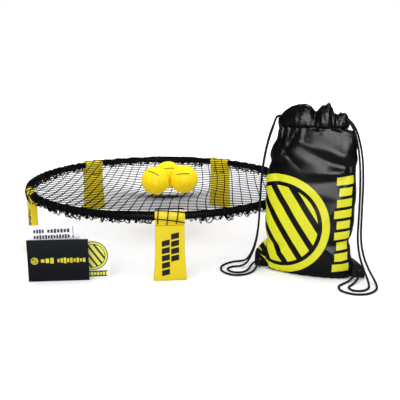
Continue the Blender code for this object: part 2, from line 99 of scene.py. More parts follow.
class Slot(Enum):
    """The record's material slots."""

    LEG = "leg_yellow"
    RIM = "black_plastic"
    STEEL = "steel"
    NET = "net_cord"
    BALL = "ball_yellow"
    VALVE = "valve_rubber"
    NYLON = "bag_nylon"
    CORD = "bag_cord"
    CARD = "black_card"
    PAPER = "white_paper"


# ---- node graphs --------------------------------------------------------------------------------


def operation(name: str, swapped: bool = False) -> Callable[..., "Wire"]:
    """Makes a method of Wire that adds one Math node.

    Args:
        name: The node's operation.
        swapped: Whether the wire is the right-hand value.

    Returns:
        The method.
    """
    def apply(wire: "Wire", *others: object) -> "Wire":
        """Adds the node."""
        return wire.graph.math(name, *((*others, wire) if swapped else (wire, *others)))

    return apply


@dataclass
class Wire:
    """A value in a node graph, with arithmetic written as Python; a comparison gives 1 or 0."""

    graph: "Graph"
    value: object

    __add__, __radd__ = operation("ADD"), operation("ADD", True)
    __sub__, __rsub__ = operation("SUBTRACT"), operation("SUBTRACT", True)
    __mul__, __rmul__ = operation("MULTIPLY"), operation("MULTIPLY", True)
    __truediv__, __pow__ = operation("DIVIDE"), operation("POWER")
    __lt__, __gt__ = operation("LESS_THAN"), operation("GREATER_THAN")
    absolute, fract, floor = operation("ABSOLUTE"), operation("FRACT"), operation("FLOOR")
    sine, cosine = operation("SINE"), operation("COSINE")
    least, most = operation("MINIMUM"), operation("MAXIMUM")

    def near(self, middle: object, half: object) -> "Wire":
        """1 where this lies within a distance of a middle."""
        return (self - middle).absolute() < half

    def ramp(self, start: float, end: float) -> "Wire":
        """A smooth step from 0 at the start to 1 at the end, which may be the lower one."""
        first, last = (1.0, 0.0) if start > end else (0.0, 1.0)
        inputs = {
            "Value": self, "From Min": min(start, end), "From Max": max(start, end),
            "To Min": first, "To Max": last,
        }
        return self.graph.node("ShaderNodeMapRange", {"interpolation_type": "SMOOTHSTEP"}, inputs, "Result")


class Graph:
    """Builds a node tree, for a material or for geometry."""

    def __init__(self, tree: bpy.types.NodeTree) -> None:
        """Keeps the tree that nodes are added to."""
        self.tree = tree

    def plug(self, value: object, socket: bpy.types.NodeSocket) -> None:
        """Links a wire to a socket, or sets the socket to a number."""
        if isinstance(value, Wire):
            self.tree.links.new(value.value, socket)
        else:
            socket.default_value = value

    def node(self, kind: str, settings: dict, inputs: dict, out: object = 0) -> Wire:
        """Adds a node.

        Args:
            kind: The node's type.
            settings: Properties, set before its sockets are filled.
            inputs: Socket names or numbers, and the wires or values that go in.
            out: The name or number of the output that is handed back.

        Returns:
            That output.
        """
        made = self.tree.nodes.new(kind)
        for name, value in settings.items():
            setattr(made, name, value)
        for key, value in inputs.items():
            self.plug(value, made.inputs[key])
        return Wire(self, made.outputs[out])

    def math(self, name: str, *values: object) -> Wire:
        """Adds a Math node."""
        return self.node("ShaderNodeMath", {"operation": name}, dict(enumerate(values)))

    def vector(self, x: object, y: object, z: object) -> Wire:
        """Joins three numbers."""
        return self.node("ShaderNodeCombineXYZ", {}, {0: x, 1: y, 2: z})

    def split(self, vector: Wire) -> tuple[Wire, Wire, Wire]:
        """The three numbers of a vector."""
        parts = self.node("ShaderNodeSeparateXYZ", {}, {0: vector}).value.node.outputs
        return tuple(Wire(self, output) for output in parts)

    def length(self, vector: Wire) -> Wire:
        """The length of a vector."""
        return self.node("ShaderNodeVectorMath", {"operation": "LENGTH"}, {0: vector}, "Value")

    def mix(self, factor: object, low: object, high: object) -> Wire:
        """A blend of two colours."""
        return self.node("ShaderNodeMix", {"data_type": "RGBA"}, {"Factor": factor, 6: low, 7: high}, 2)

    def noise(self, vector: Wire, scale: float, detail: float = 2.0, rough: float = 0.5) -> Wire:
        """Smooth noise from 0 to 1."""
        inputs = {"Vector": vector, "Scale": scale, "Detail": detail, "Roughness": rough}
        return self.node("ShaderNodeTexNoise", {}, inputs)

    def ray(self, kind: str) -> Wire:
        """1 for one kind of ray; only the room and its floor use it."""
        return self.node("ShaderNodeLightPath", {}, {}, kind)

    def rotation(self, x: object, y: object, z: object) -> Wire:
        """A rotation from three angles."""
        return self.node("FunctionNodeEulerToRotation", {}, {0: self.vector(x, y, z)})

    def random(self, low: Point, high: Point, seed: object) -> Wire:
        """A different vector for each point, between two vectors."""
        inputs = {"Min": low, "Max": high, "Seed": seed}
        return self.node("FunctionNodeRandomValue", {"data_type": "FLOAT_VECTOR"}, inputs)

    def heading(self) -> Wire:
        """The heading that a carrier's points keep."""
        settings = {"data_type": "FLOAT"}
        return self.node("GeometryNodeInputNamedAttribute", settings, {"Name": "turn"}, "Attribute")

    def cord(self, curve: Wire, radius: Wire, sides: object) -> Wire:
        """A round cord along a curve."""
        circle = {"Resolution": sides, "Radius": radius}
        profile = self.node("GeometryNodeCurvePrimitiveCircle", {}, circle, "Curve")
        inputs = {"Curve": curve, "Profile Curve": profile, "Fill Caps": True}
        return self.node("GeometryNodeCurveToMesh", {}, inputs)

    def copies(self, points: Wire, shape: Wire, rotation: Wire, scale: object = (1.0, 1.0, 1.0)) -> Wire:
        """Copies a shape to every point."""
        inputs = {"Points": points, "Instance": shape, "Rotation": rotation, "Scale": scale}
        return self.node("GeometryNodeInstanceOnPoints", {}, inputs)

    def without(self, domain: str, mode: str, geometry: Wire, where: object = True) -> Wire:
        """A geometry without a selected part of it."""
        inputs = {"Geometry": geometry, "Selection": where}
        return self.node("GeometryNodeDeleteGeometry", {"domain": domain, "mode": mode}, inputs)


class Finish:
    """A material under construction: its Principled shader and the coordinates patterns read."""

    def __init__(self, name: str, roughness: float, metallic: float = 0.0, specular: float = 0.5) -> None:
        """Starts a material.

        Args:
            name: The material's name.
            roughness: The uniform roughness, which a pattern may replace.
            metallic: 1 for bare metal.
            specular: The strength of the gloss.
        """
        self.material = bpy.data.materials.new(name)
        self.material.use_nodes = True
        self.graph = Graph(self.material.node_tree)
        self.shader = self.material.node_tree.nodes["Principled BSDF"]
        uniform = {"Roughness": roughness, "Metallic": metallic, "Specular IOR Level": specular}
        for socket, value in uniform.items():
            self.set(socket, value)

    def set(self, socket: str, value: object) -> None:
        """Fills one of the shader's sockets."""
        self.graph.plug(value, self.shader.inputs[socket])

    def object_place(self) -> Wire:
        """The place on the piece, in metres."""
        return self.graph.node("ShaderNodeTexCoord", {}, {}, "Object")

    def on_map(self) -> tuple[Wire, Wire]:
        """The two numbers of the piece's own map, in metres along its surface."""
        return self.graph.split(self.graph.node("ShaderNodeUVMap", {"uv_map": "surface"}, {}))[:2]

    def dress(self, colour: object, roughness: object, height: Wire, depth: float, strength: float) -> Material:
        """Fills the sockets that a pattern varies.

        Args:
            colour: The base colour.
            roughness: The roughness.
            height: The pattern that raises the surface.
            depth: The height in metres that 1 of the pattern stands for.
            strength: How much of the bump shows.

        Returns:
            The finished material.
        """
        self.set("Base Color", colour)
        self.set("Roughness", roughness)
        inputs = {"Height": height, "Distance": depth, "Strength": strength}
        self.set("Normal", self.graph.node("ShaderNodeBump", {}, inputs))
        return self.material


# ---- prints -------------------------------------------------------------------------------------


def union(masks: Iterable[Wire]) -> Wire:
    """Where any of the masks is."""
    return reduce(Wire.most, masks)


def round_print(across: Wire, up: Wire, middle: Pair) -> tuple[Wire, Wire, Wire]:
    """Distances from the middle of a round print: across, up and straight."""
    dx, dz = across - middle[0], up - middle[1]
    return dx, dz, (dx * dx + dz * dz) ** 0.5


def stripes(dx: Wire, dz: Wire, pitch: float, half: float) -> Wire:
    """Slanted stripes; half is half a stripe's width as a share of the pitch."""
    return ((dx * 0.82 + dz * 0.57) / pitch).fract().near(0.5, half)


@dataclass(frozen=True)
class BlockRow:
    """Plain blocks of uneven height in a row, where an object of this kind has a word."""

    vary: float
    half_height: float
    half_width: float
    step: float = 0.43
    first: float = 0.1

    def mask(self, across: Wire, up: Wire, start: float, end: float, height: float, count: int) -> Wire:
        """Where the blocks are.

        Args:
            across: Metres across the print.
            up: Metres up the print.
            start: Where the row starts.
            end: Where it ends.
            height: The height of its middle.
            count: The number of blocks.

        Returns:
            1 on a block and 0 off it.
        """
        place = (across - start) / ((end - start) / count)
        tall = (place.floor() * self.step + self.first).fract() * self.vary
        block = place.fract().near(0.5, self.half_width) * up.near(height, tall + self.half_height)
        return block * (place > 0.0) * (place < float(count))


# ---- finishes -----------------------------------------------------------------------------------


@dataclass(frozen=True)
class MouldedPlastic:
    """Injection-moulded plastic with a fine spark-eroded grain and slightly uneven gloss."""

    name: str
    colour: Colour
    shade: Colour
    roughness: float
    grain: float = 1400.0
    depth: float = 0.00006
    scuffs: float = 0.10
    gloss: float = 0.15

    def base(self) -> tuple[Finish, Wire]:
        """The finish before any print, and its base colour."""
        finish = Finish(self.name, self.roughness, specular=self.gloss)
        graph, place = finish.graph, finish.object_place()
        patches = graph.noise(place, 9.0, 3.0)
        rub = graph.noise(place, 160.0, 4.0, 0.7).ramp(0.56, 0.74)
        colour = graph.mix(patches.ramp(0.35, 0.7), self.shade, self.colour)
        rough = self.roughness + self.scuffs * rub + 0.06 * patches
        finish.dress(colour, rough, graph.noise(place, self.grain) + 0.4 * rub, self.depth, 0.5)
        return finish, colour

    def build(self) -> Material:
        """The plain plastic."""
        return self.base()[0].material


@dataclass(frozen=True)
class PrintedLegPlastic:
    """Yellow leg plastic with two rows of slanted black bars; a row is (across, bottom, top, bars)."""

    plastic: MouldedPlastic
    ink: Colour = (0.012, 0.011, 0.010, 1.0)
    rows: tuple[tuple[float, float, float, int], ...] = (
        (-0.0124, 0.014, 0.122, 5), (0.0136, 0.056, 0.142, 4),
    )
    half_row: float = 0.0112
    slant: float = 0.22
    fill: float = 0.78

    def build(self) -> Material:
        """The plastic with its print."""
        finish, colour = self.plastic.base()
        across, up = finish.on_map()
        bars = []
        for middle, bottom, top, count in self.rows:
            along = (up - bottom - (across - middle) * self.slant) / ((top - bottom) / count)
            bar = across.near(middle, self.half_row) * along.fract().near(0.5, self.fill / 2)
            bars.append(bar * (along > 0.0) * (along < float(count)))
        finish.set("Base Color", finish.graph.mix(union(bars), colour, self.ink))
        return finish.material


@dataclass(frozen=True)
class BallRubber:
    """Matt rubber with a pebbled skin, a faint moulding seam and one short dark bar."""

    colour: Colour = (0.95, 0.74, 0.006, 1.0)
    deep: Colour = (0.93, 0.63, 0.004, 1.0)
    ink: Colour = (0.03, 0.02, 0.01, 1.0)
    bar_half: Pair = (0.45, 0.046)
    dash: float = 0.058

    def build(self) -> Material:
        """Reads the direction from the ball's centre, kept on the mesh as ball_way."""
        finish = Finish("ball_rubber", 0.50, specular=0.12)
        graph = finish.graph
        way = graph.node("ShaderNodeAttribute", {"attribute_name": "ball_way"}, {}, "Vector")
        x, y, z = graph.split(way)
        inputs = {"Vector": way, "Scale": 62.0, "Smoothness": 0.6}
        pebbles = graph.node("ShaderNodeTexVoronoi", {"feature": "SMOOTH_F1"}, inputs)
        seam = y.absolute().ramp(0.012, 0.002)
        dashes = (x / self.dash).fract().near(0.5, 0.40)
        bar = (x.absolute() < self.bar_half[0]) * (z.absolute() < self.bar_half[1]) * (y < 0.0) * dashes
        tone = graph.mix(graph.noise(way, 3.0).ramp(0.3, 0.7), self.deep, self.colour)
        dirt = graph.noise(way, 26.0, 4.0, 0.7).ramp(0.62, 0.80)
        tone = graph.mix(dirt * 0.12, tone, self.deep)
        finish.set("Subsurface Weight", 0.08)
        finish.set("Subsurface Radius", (0.006, 0.003, 0.0005))
        rough = 0.44 + 0.10 * graph.noise(way, 11.0)
        return finish.dress(graph.mix(bar, tone, self.ink), rough, pebbles * -1.0 - seam * 0.6, 0.0006, 0.30)


@dataclass(frozen=True)
class KnottedCord:
    """Thin black twisted cord, a little dusty where it has rubbed."""

    colour: Colour = (0.0035, 0.0035, 0.0045, 1.0)
    worn: Colour = (0.012, 0.012, 0.014, 1.0)

    def build(self) -> Material:
        """A twist bump from the piece's own place."""
        finish = Finish("net_twine", 0.72, specular=0.04)
        graph, place = finish.graph, finish.object_place()
        wear = graph.noise(place, 22.0, 3.0).ramp(0.45, 0.75)
        colour = graph.mix(wear, self.colour, self.worn)
        return finish.dress(colour, 0.62 + 0.2 * wear, graph.noise(place, 1500.0), 0.0003, 0.6)


@dataclass(frozen=True)
class BraidedCord:
    """Braided polyester: plaits that run both ways round the cord."""

    diameter: float
    colour: Colour = (0.0035, 0.0035, 0.0045, 1.0)
    crown: Colour = (0.016, 0.016, 0.019, 1.0)
    strands: int = 4
    lay: float = 1.5

    def build(self) -> Material:
        """The map's first number is the way round and the second the way along, both in metres."""
        finish = Finish("drawcord_braid", 0.6, specular=0.05)
        around, along = finish.on_map()
        turn = around * (2 / self.diameter * self.strands)
        slope = along * (TURN / (self.diameter * self.lay))
        plait = ((turn + slope).sine().most((turn - slope).sine()) * 0.5 + 0.5) ** 1.5
        # Painted highlight and shade: the plaits' crowns are painted in the lighter crown colour and the grooves
        # between them stay darker, following the relief.
        colour = finish.graph.mix(plait, self.colour, self.crown)
        return finish.dress(colour, 0.75 - 0.2 * plait, plait, 0.0004, 0.8)


@dataclass(frozen=True)
class Metal:
    """Plain metal with fine turning marks."""

    name: str
    colour: Colour
    roughness: float

    def build(self) -> Material:
        """Marks come from the piece's own place."""
        finish = Finish(self.name, self.roughness, metallic=1.0)
        graph, place = finish.graph, finish.object_place()
        rough = self.roughness + 0.12 * graph.noise(place, 420.0, 4.0, 0.7)
        return finish.dress(self.colour, rough, graph.noise(place, 2600.0), 0.00004, 0.5)


@dataclass(frozen=True)
class PrintedNylon:
    """Glossy black nylon with a fine weave, soft creases and a yellow print on the front."""

    colour: Colour = (0.0011, 0.0011, 0.0016, 1.0)
    sheen: Colour = (0.0030, 0.0030, 0.0042, 1.0)
    ink: Colour = (0.66, 0.66, 0.008, 1.0)
    disc: Pair = (-0.0905, 0.1490)
    radius: float = 0.1460
    border: float = 0.021
    column: tuple[float, float, float, float] = (0.064, 0.116, 0.018, 0.300)
    blocks: int = 9
    thread: float = 0.0011
    front_way: Pair = (0.9026, -0.4305)
    neck: Pair = (0.418, 0.436)

    def print_mask(self, across: Wire, up: Wire) -> Wire:
        """A striped disc and a column of slanted blocks, cut off at the lower left corner."""
        dx, dz, reach = round_print(across, up, self.disc)
        inner = self.radius - self.border
        gap = (reach > self.radius - self.border * 1.55) * (reach < inner)
        disc = (reach < self.radius) * (reach > inner).most(stripes(dx, dz, 0.046, 0.31)) * (1.0 - gap)
        left, right, bottom, top = self.column
        step = (up - bottom - (across - left) * 0.12) / ((top - bottom) / self.blocks)
        narrow = (step.floor() * 0.37 + 0.2).fract() * 0.014
        column = step.fract().near(0.5, 0.36) * (across > narrow + left) * (across < right - narrow * 0.4)
        column = column * (step > 0.0) * (step < float(self.blocks))
        patch = (across < -0.130) * (up < 0.053 - (across + 0.165) * 0.95)
        return disc.most(column) * (1.0 - patch)

    def build(self) -> Material:
        """The map's numbers are metres across the front and up; other faces lie far away on it."""
        finish = Finish("printed_nylon", 0.30, specular=0.26)
        graph, place = finish.graph, finish.object_place()
        mask = self.print_mask(*finish.on_map())
        x, y, z = graph.split(place)
        pitch = TURN / self.thread
        weave = ((x * self.front_way[0] + y * self.front_way[1]) * pitch).sine() * (z * pitch).sine()
        haze = graph.noise(place, 14.0, 3.0)
        dust = graph.noise(place, 90.0, 3.0, 0.65).ramp(0.55, 0.8)
        # Partly painted sheen: the sheen colour is a painted sheen spread at random by the haze noise, and the dust
        # noise pulls toward the same colour for real dust.
        base = graph.mix(haze * 0.6 + dust * 0.25, self.colour, self.sheen)
        worn = graph.noise(place, 320.0, 3.0, 0.7).ramp(0.30, 0.46)
        creases = graph.noise(place, 26.0, 4.0, 0.62)
        ridge = 1.0 - (graph.noise(place, 46.0, 3.0, 0.6) - 0.5).absolute() * 5.0
        crumple = ridge.most(0.0) * z.ramp(*self.neck)
        colour = graph.mix(mask * (0.88 + worn * 0.12), base, self.ink)
        rough = 0.19 + haze * 0.10 + mask * 0.22
        return finish.dress(colour, rough, creases + weave * 0.035 + crumple * 0.55, 0.0030, 0.55)


@dataclass(frozen=True)
class PlainNylon:
    """The bag's own black nylon, without print: fine ribs and small creases."""

    name: str = "plain_nylon"
    colour: Colour = (0.0022, 0.0022, 0.0028, 1.0)
    sheen: Colour = (0.0060, 0.0060, 0.0072, 1.0)
    rib: float = 0.0012

    def build(self) -> Material:
        """Ribs come from the piece's own place."""
        finish = Finish(self.name, 0.38, specular=0.16)
        graph, place = finish.graph, finish.object_place()
        x, _, z = graph.split(place)
        ribs = ((x + z) * (TURN / self.rib)).sine()
        tone = graph.noise(place, 40.0, 3.0)
        # Painted sheen: the sheen colour is a painted sheen spread at random by the tone noise.
        colour = graph.mix(tone, self.colour, self.sheen)
        return finish.dress(colour, 0.34 + 0.16 * tone, graph.noise(place, 60.0, 3.0) + ribs * 0.08, 0.0012, 0.5)


@dataclass(frozen=True)
class PrintedBlackCard:
    """Satin black card with a plain dot and two rows of blocks standing for words."""

    colour: Colour = (0.0045, 0.0052, 0.0080, 1.0)
    fibre: Colour = (0.0075, 0.0085, 0.0120, 1.0)
    ink: Colour = (0.50, 0.47, 0.03, 1.0)
    bright: Colour = (0.66, 0.61, 0.05, 1.0)
    middle: float = 0.0610
    words: tuple[tuple[float, float, int], ...] = ((0.0345, 0.0725, 3), (0.0800, 0.1590, 9))
    row: BlockRow = BlockRow(0.0042, 0.0042, 0.37, 0.41, 0.15)

    def build(self) -> Material:
        """The map's numbers are metres across and up on the front."""
        finish = Finish("black_card_print", 0.42, specular=0.08)
        graph, place = finish.graph, finish.object_place()
        across, up = finish.on_map()
        dx, dz, reach = round_print(across, up, (0.0185, self.middle))
        dot = (reach < 0.0102) * (1.0 - (reach < 0.0078) * (reach > 0.0062))
        dot = dot * (1.0 - (reach < 0.0062) * ((dx + dz).absolute() < 0.0016))
        words = union(self.row.mask(across, up, start, end, self.middle, count) for start, end, count in self.words)
        fibres = graph.noise(place, 900.0, 3.0)
        base = graph.mix(fibres, self.colour, self.fibre)
        inked = graph.mix(graph.noise(place, 60.0).ramp(0.4, 0.6), self.ink, self.bright)
        return finish.dress(graph.mix(dot.most(words), base, inked), 0.38 + 0.14 * fibres, fibres, 0.00005, 0.5)


@dataclass(frozen=True)
class PrintedLeaflet:
    """White paper with rows of dark blocks and a thin upright line; a row is (start, end, height, blocks)."""

    paper: Colour = (0.82, 0.82, 0.85, 1.0)
    shade: Colour = (0.76, 0.76, 0.80, 1.0)
    ink: Colour = (0.035, 0.035, 0.045, 1.0)
    rows: tuple[tuple[float, float, float, int], ...] = (
        (0.0140, 0.0440, 0.1455, 4), (0.0510, 0.1130, 0.1455, 7), (0.0140, 0.1130, 0.1290, 13),
        (0.0115, 0.1000, 0.1060, 14), (0.0115, 0.0900, 0.0900, 12), (0.0115, 0.1040, 0.0740, 15),
    )
    row: BlockRow = BlockRow(0.0020, 0.0042, 0.38)
    edge: float = 0.1215

    def build(self) -> Material:
        """The map's numbers are metres across and up on the front."""
        finish = Finish("leaflet_print", 0.62, specular=0.3)
        graph, place = finish.graph, finish.object_place()
        across, up = finish.on_map()
        text = union(self.row.mask(across, up, *row) for row in self.rows)
        line = across.near(self.edge, 0.0012) * up.near(0.1450, 0.0125) * ((up / 0.0021).fract() < 0.7)
        mark = across.near(self.edge, 0.0024) * up.near(0.1275, 0.0028)
        fibres = graph.noise(place, 700.0, 3.0)
        base = graph.mix(graph.noise(place, 12.0), self.shade, self.paper)
        colour = graph.mix(union((text, line, mark)), base, self.ink)
        return finish.dress(colour, 0.56 + 0.14 * fibres, fibres, 0.00006, 0.5)


@dataclass(frozen=True)
class PrintedSticker:
    """A white card with a striped yellow disc over a dark strip of blocks."""

    paper: Colour = (0.84, 0.84, 0.86, 1.0)
    yellow: Colour = (0.72, 0.70, 0.06, 1.0)
    ink: Colour = (0.03, 0.03, 0.04, 1.0)
    radius: float = 0.0405
    row: BlockRow = BlockRow(0.0026, 0.0032, 0.36, first=0.67)
    strip: float = 0.0130

    def build(self) -> Material:
        """The map's numbers are metres across and up on the front."""
        finish = Finish("sticker_print", 0.35)
        graph, place = finish.graph, finish.object_place()
        across, up = finish.on_map()
        dx, dz, reach = round_print(across, up, (0.0490, 0.0665))
        edge = (reach < self.radius + 0.0025) * (reach > self.radius)
        ring = (reach > 0.0335) * (reach < 0.0355)
        bands = stripes(dx, dz, 0.0150, 0.20) * (reach < 0.0335)
        strip = up.near(self.strip, 0.0088) * across.near(0.0480, 0.0410)
        blocks = strip * self.row.mask(across, up, 0.0008, 0.0992, self.strip, 12)
        dark = union((edge, ring, bands, strip)) * (1.0 - blocks)
        tone = graph.mix((reach < self.radius).most(blocks), self.paper, self.yellow)
        fibres = graph.noise(place, 500.0)
        return finish.dress(graph.mix(dark, tone, self.ink), 0.30 + 0.12 * fibres, fibres, 0.00003, 0.4)


@dataclass(frozen=True)
class StageFloor:
    """A plain pale floor, nearly white and matt."""

    colour: Colour = (0.90, 0.90, 0.92, 1.0)
    mirrored_colour: Colour = (0.22, 0.22, 0.23, 1.0)
    near: float = 0.9
    far: float = 2.4

    def build(self) -> Material:
        """Washed out by the room's light further away, and dim in reflections."""
        finish = Finish("stage_floor", 0.75, specular=0.2)
        graph = finish.graph
        glow = graph.length(finish.object_place()).ramp(self.near, self.far) * graph.ray("Is Camera Ray")
        finish.set("Base Color", graph.mix(graph.ray("Is Glossy Ray"), self.colour, self.mirrored_colour))
        finish.set("Emission Color", graph.mix(glow, (0.0, 0.0, 0.0, 1.0), (1.0, 1.0, 1.0, 1.0)))
        finish.set("Emission Strength", 1.0)
        return finish.material


# ---- mesh helpers -------------------------------------------------------------------------------


def circle(radius: float, sides: int) -> list[Pair]:
    """Points round a circle."""
    return [(radius * math.cos(TURN * i / sides), radius * math.sin(TURN * i / sides)) for i in range(sides)]


class Maker:
    """Makes meshes and objects at the origin."""

    @staticmethod
    def object_from(name: str, mesh: Mesh, material: Material | None = None) -> bpy.types.Object:
        """A new object for a finished mesh."""
        mesh.materials.clear()
        if material:
            mesh.materials.append(material)
        obj = bpy.data.objects.new(name, mesh)
        bpy.context.scene.collection.objects.link(obj)
        return obj

    @staticmethod
    def smooth(mesh: Mesh, sharp: float | None = None) -> Mesh:
        """Shades a mesh smooth, up to an angle in degrees above which an edge stays sharp."""
        mesh.shade_smooth()
        if sharp is not None:
            mesh.set_sharp_from_angle(angle=math.radians(sharp))
        return mesh

    @staticmethod
    def mesh_from(bm: bmesh.types.BMesh, name: str, smooth: float | None = 40.0, weld: float = 0.0) -> Mesh:
        """Turns a bmesh into a mesh with outward faces.

        Args:
            bm: The shape; it is freed.
            name: The mesh's name.
            smooth: The angle in degrees above which an edge stays sharp, or None for flat faces.
            weld: The distance below which points are first made one.

        Returns:
            The mesh.
        """
        if weld:
            bmesh.ops.remove_doubles(bm, verts=bm.verts, dist=weld)
        bmesh.ops.recalc_face_normals(bm, faces=bm.faces)
        mesh = bpy.data.meshes.new(name)
        bm.to_mesh(mesh)
        bm.free()
        return mesh if smooth is None else Maker.smooth(mesh, smooth)

    @staticmethod
    def joined(meshes: Iterable[Mesh], name: str, sharp: float | None) -> Mesh:
        """Several meshes as one."""
        bm = bmesh.new()
        for part in meshes:
            bm.from_mesh(part)
        mesh = bpy.data.meshes.new(name)
        bm.to_mesh(mesh)
        bm.free()
        return Maker.smooth(mesh, sharp)

    @staticmethod
    def evaluated(obj: bpy.types.Object, name: str) -> Mesh:
        """The mesh that an object's modifiers make; the object is removed."""
        graph = bpy.context.evaluated_depsgraph_get()
        mesh = bpy.data.meshes.new_from_object(obj.evaluated_get(graph))
        mesh.name = name
        bpy.data.objects.remove(obj, do_unlink=True)
        return mesh

    @staticmethod
    def add_map(mesh: Mesh, values: np.ndarray, layer: str = "surface") -> None:
        """Stores a map, given as one pair for each face corner."""
        uv = mesh.uv_layers.new(name=layer)
        uv.data.foreach_set("uv", np.asarray(values, np.float32).ravel())

    @staticmethod
    def corner_points(mesh: Mesh) -> np.ndarray:
        """The place of every face corner."""
        points = np.empty(len(mesh.vertices) * 3)
        mesh.vertices.foreach_get("co", points)
        index = np.empty(len(mesh.loops), np.int32)
        mesh.loops.foreach_get("vertex_index", index)
        return points.reshape(-1, 3)[index]

    @staticmethod
    def loft(rings: Sequence[Sequence[Point]], closed: bool = True, caps: bool = True) -> bmesh.types.BMesh:
        """A shape through rings that have the same number of points.

        Args:
            rings: The rings, in order.
            closed: Whether each ring joins its end to its start.
            caps: Whether the first and last rings are filled.

        Returns:
            The shape.
        """
        bm = bmesh.new()
        rows = [[bm.verts.new(point) for point in ring] for ring in rings]
        count = len(rows[0])
        for low, high in zip(rows, rows[1:]):
            for i in range(count if closed else count - 1):
                j = (i + 1) % count
                bm.faces.new((low[i], low[j], high[j], high[i]))
        if caps:
            bm.faces.new(reversed(rows[0]))
            bm.faces.new(rows[-1])
        return bm

    @staticmethod
    def tube(path: Sequence[Vector], radius: float, sides: int, name: str) -> Mesh:
        """A round tube with shrunken ends along a path, with a map of metres round and metres along."""
        points = [Vector(point) for point in path]
        ways = [(b - a).normalized() for a, b in zip(points, points[1:])]
        tangents = [ways[0]] + [(a + b).normalized() for a, b in zip(ways, ways[1:])] + [ways[-1]]
        side = tangents[0].orthogonal().normalized()
        rings: list[list[Vector]] = []
        along = [0.0]
        for i, (point, tangent) in enumerate(zip(points, tangents)):
            side = (side - tangent * side.dot(tangent)).normalized()
            other = tangent.cross(side)
            shrink = 0.72 if i in (0, len(points) - 1) else 1.0
            rings.append([point + (side * x + other * y) * radius * shrink for x, y in circle(1.0, sides)])
            if i:
                along.append(along[-1] + (point - points[i - 1]).length)
        bm = Maker.loft(rings)
        layer = bm.loops.layers.uv.new("surface")
        bm.verts.index_update()
        girth = TURN * radius
        for face in bm.faces:
            columns = [loop.vert.index % sides for loop in face.loops]
            wraps = max(columns) - min(columns) > 1 and len(columns) == 4
            for loop, column in zip(face.loops, columns):
                turn = column + (sides if wraps and column == 0 else 0)
                loop[layer].uv = (girth * turn / sides, along[loop.vert.index // sides])
        return Maker.mesh_from(bm, name, 60.0)


def add_piece(
    name: str, mesh: Mesh, material: Material, body: Body | str, slot: Slot, *replaced: str
) -> bpy.types.Object:
    """Makes a finished piece, parents it to its body and hides the plain nodes it stands for.

    Args:
        name: The piece's name.
        mesh: Its mesh, in the row frame.
        material: Its finish.
        body: The body that it moves with.
        slot: The record's material slot; not used.
        *replaced: The plain nodes that it stands for.

    Returns:
        The piece.
    """
    obj = Maker.object_from(name, mesh, material)
    body_name = body.value if isinstance(body, Body) else body
    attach(obj, body_name)
    if replaced:
        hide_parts(*replaced)
    log.info("%s rides on %s, %d faces", name, body_name, len(mesh.polygons))
    return obj


# ---- geometry trees -----------------------------------------------------------------------------


class GeometryTree:
    """A geometry node tree with named inputs, built in the script."""

    def __init__(self, name: str) -> None:
        """Starts a tree that takes in and hands out a geometry."""
        self.group = bpy.data.node_groups.new(name, "GeometryNodeTree")
        for way in ("INPUT", "OUTPUT"):
            self.group.interface.new_socket("Geometry", in_out=way, socket_type="NodeSocketGeometry")
        self.graph = Graph(self.group)
        self.entry = self.group.nodes.new("NodeGroupInput")
        self.exit = self.group.nodes.new("NodeGroupOutput")
        self.identifiers: dict[str, str] = {}

    def inputs(self, kind: str, *names: str) -> list[Wire]:
        """Adds named inputs of one kind: Float, Int, Material or Object."""
        for name in names:
            made = self.group.interface.new_socket(name, in_out="INPUT", socket_type="NodeSocket" + kind)
            self.identifiers[name] = made.identifier
        return [Wire(self.graph, self.entry.outputs[name]) for name in names]

    def geometry(self) -> Wire:
        """The geometry that comes in."""
        return Wire(self.graph, self.entry.outputs["Geometry"])

    def close(self, geometry: Wire, smooth: bool = True) -> None:
        """Ends the tree: soft shading, real faces, then the finish."""
        node = self.graph.node
        if smooth:
            geometry = node("GeometryNodeSetShadeSmooth", {}, {"Geometry": geometry})
        real = node("GeometryNodeRealizeInstances", {}, {"Geometry": geometry})
        material, = self.inputs("Material", "Material")
        dressed = node("GeometryNodeSetMaterial", {}, {"Geometry": real, "Material": material})
        self.graph.plug(dressed, self.exit.inputs["Geometry"])

    def run(self, mesh: Mesh, name: str, **values: object) -> Mesh:
        """Runs the tree on a mesh.

        Args:
            mesh: What goes in.
            name: The name of the result.
            **values: The inputs, by name with spaces as underscores.

        Returns:
            The plain mesh that comes out.
        """
        carrier = bpy.data.objects.new(name + "_carrier", mesh)
        bpy.context.scene.collection.objects.link(carrier)
        modifier = carrier.modifiers.new(name, "NODES")
        modifier.node_group = self.group
        for key, value in values.items():
            modifier[self.identifiers[key.replace("_", " ")]] = value
        return Maker.evaluated(carrier, name)


# ---- where things are ---------------------------------------------------------------------------


@dataclass(frozen=True)
class Place:
    """A spot and a turn on the floor; pieces are laid out in it and then moved to the row frame."""

    x: float
    y: float
    turn: float = 0.0

    def matrix(self, heading: float = 0.0) -> Matrix:
        """From this place to the row frame, with one more turn."""
        return Matrix.Translation((self.x, self.y, 0)) @ Matrix.Rotation(self.turn + heading, 4, "Z")

    def point(self, x: float, y: float, z: float) -> Vector:
        """One point in the row frame."""
        return self.matrix() @ Vector((x, y, z))


def carrier(name: str, points: Sequence[Point], headings: Sequence[float]) -> Mesh:
    """Loose points for a tree to work on, each with its heading."""
    mesh = bpy.data.meshes.new(name)
    mesh.from_pydata(points, [], [])
    mesh.attributes.new("turn", "FLOAT", "POINT").data.foreach_set("value", headings)
    return mesh


def middle_of(node: str) -> Vector:
    """The middle of a CAD node's box."""
    low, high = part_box(node)
    return (low + high) / 2


RING = Place(*middle_of("net").xy)
BAG_OFFSET = (0.4120, -0.4300)
BAG = Place(RING.x + BAG_OFFSET[0], RING.y + BAG_OFFSET[1], math.radians(-25.5))


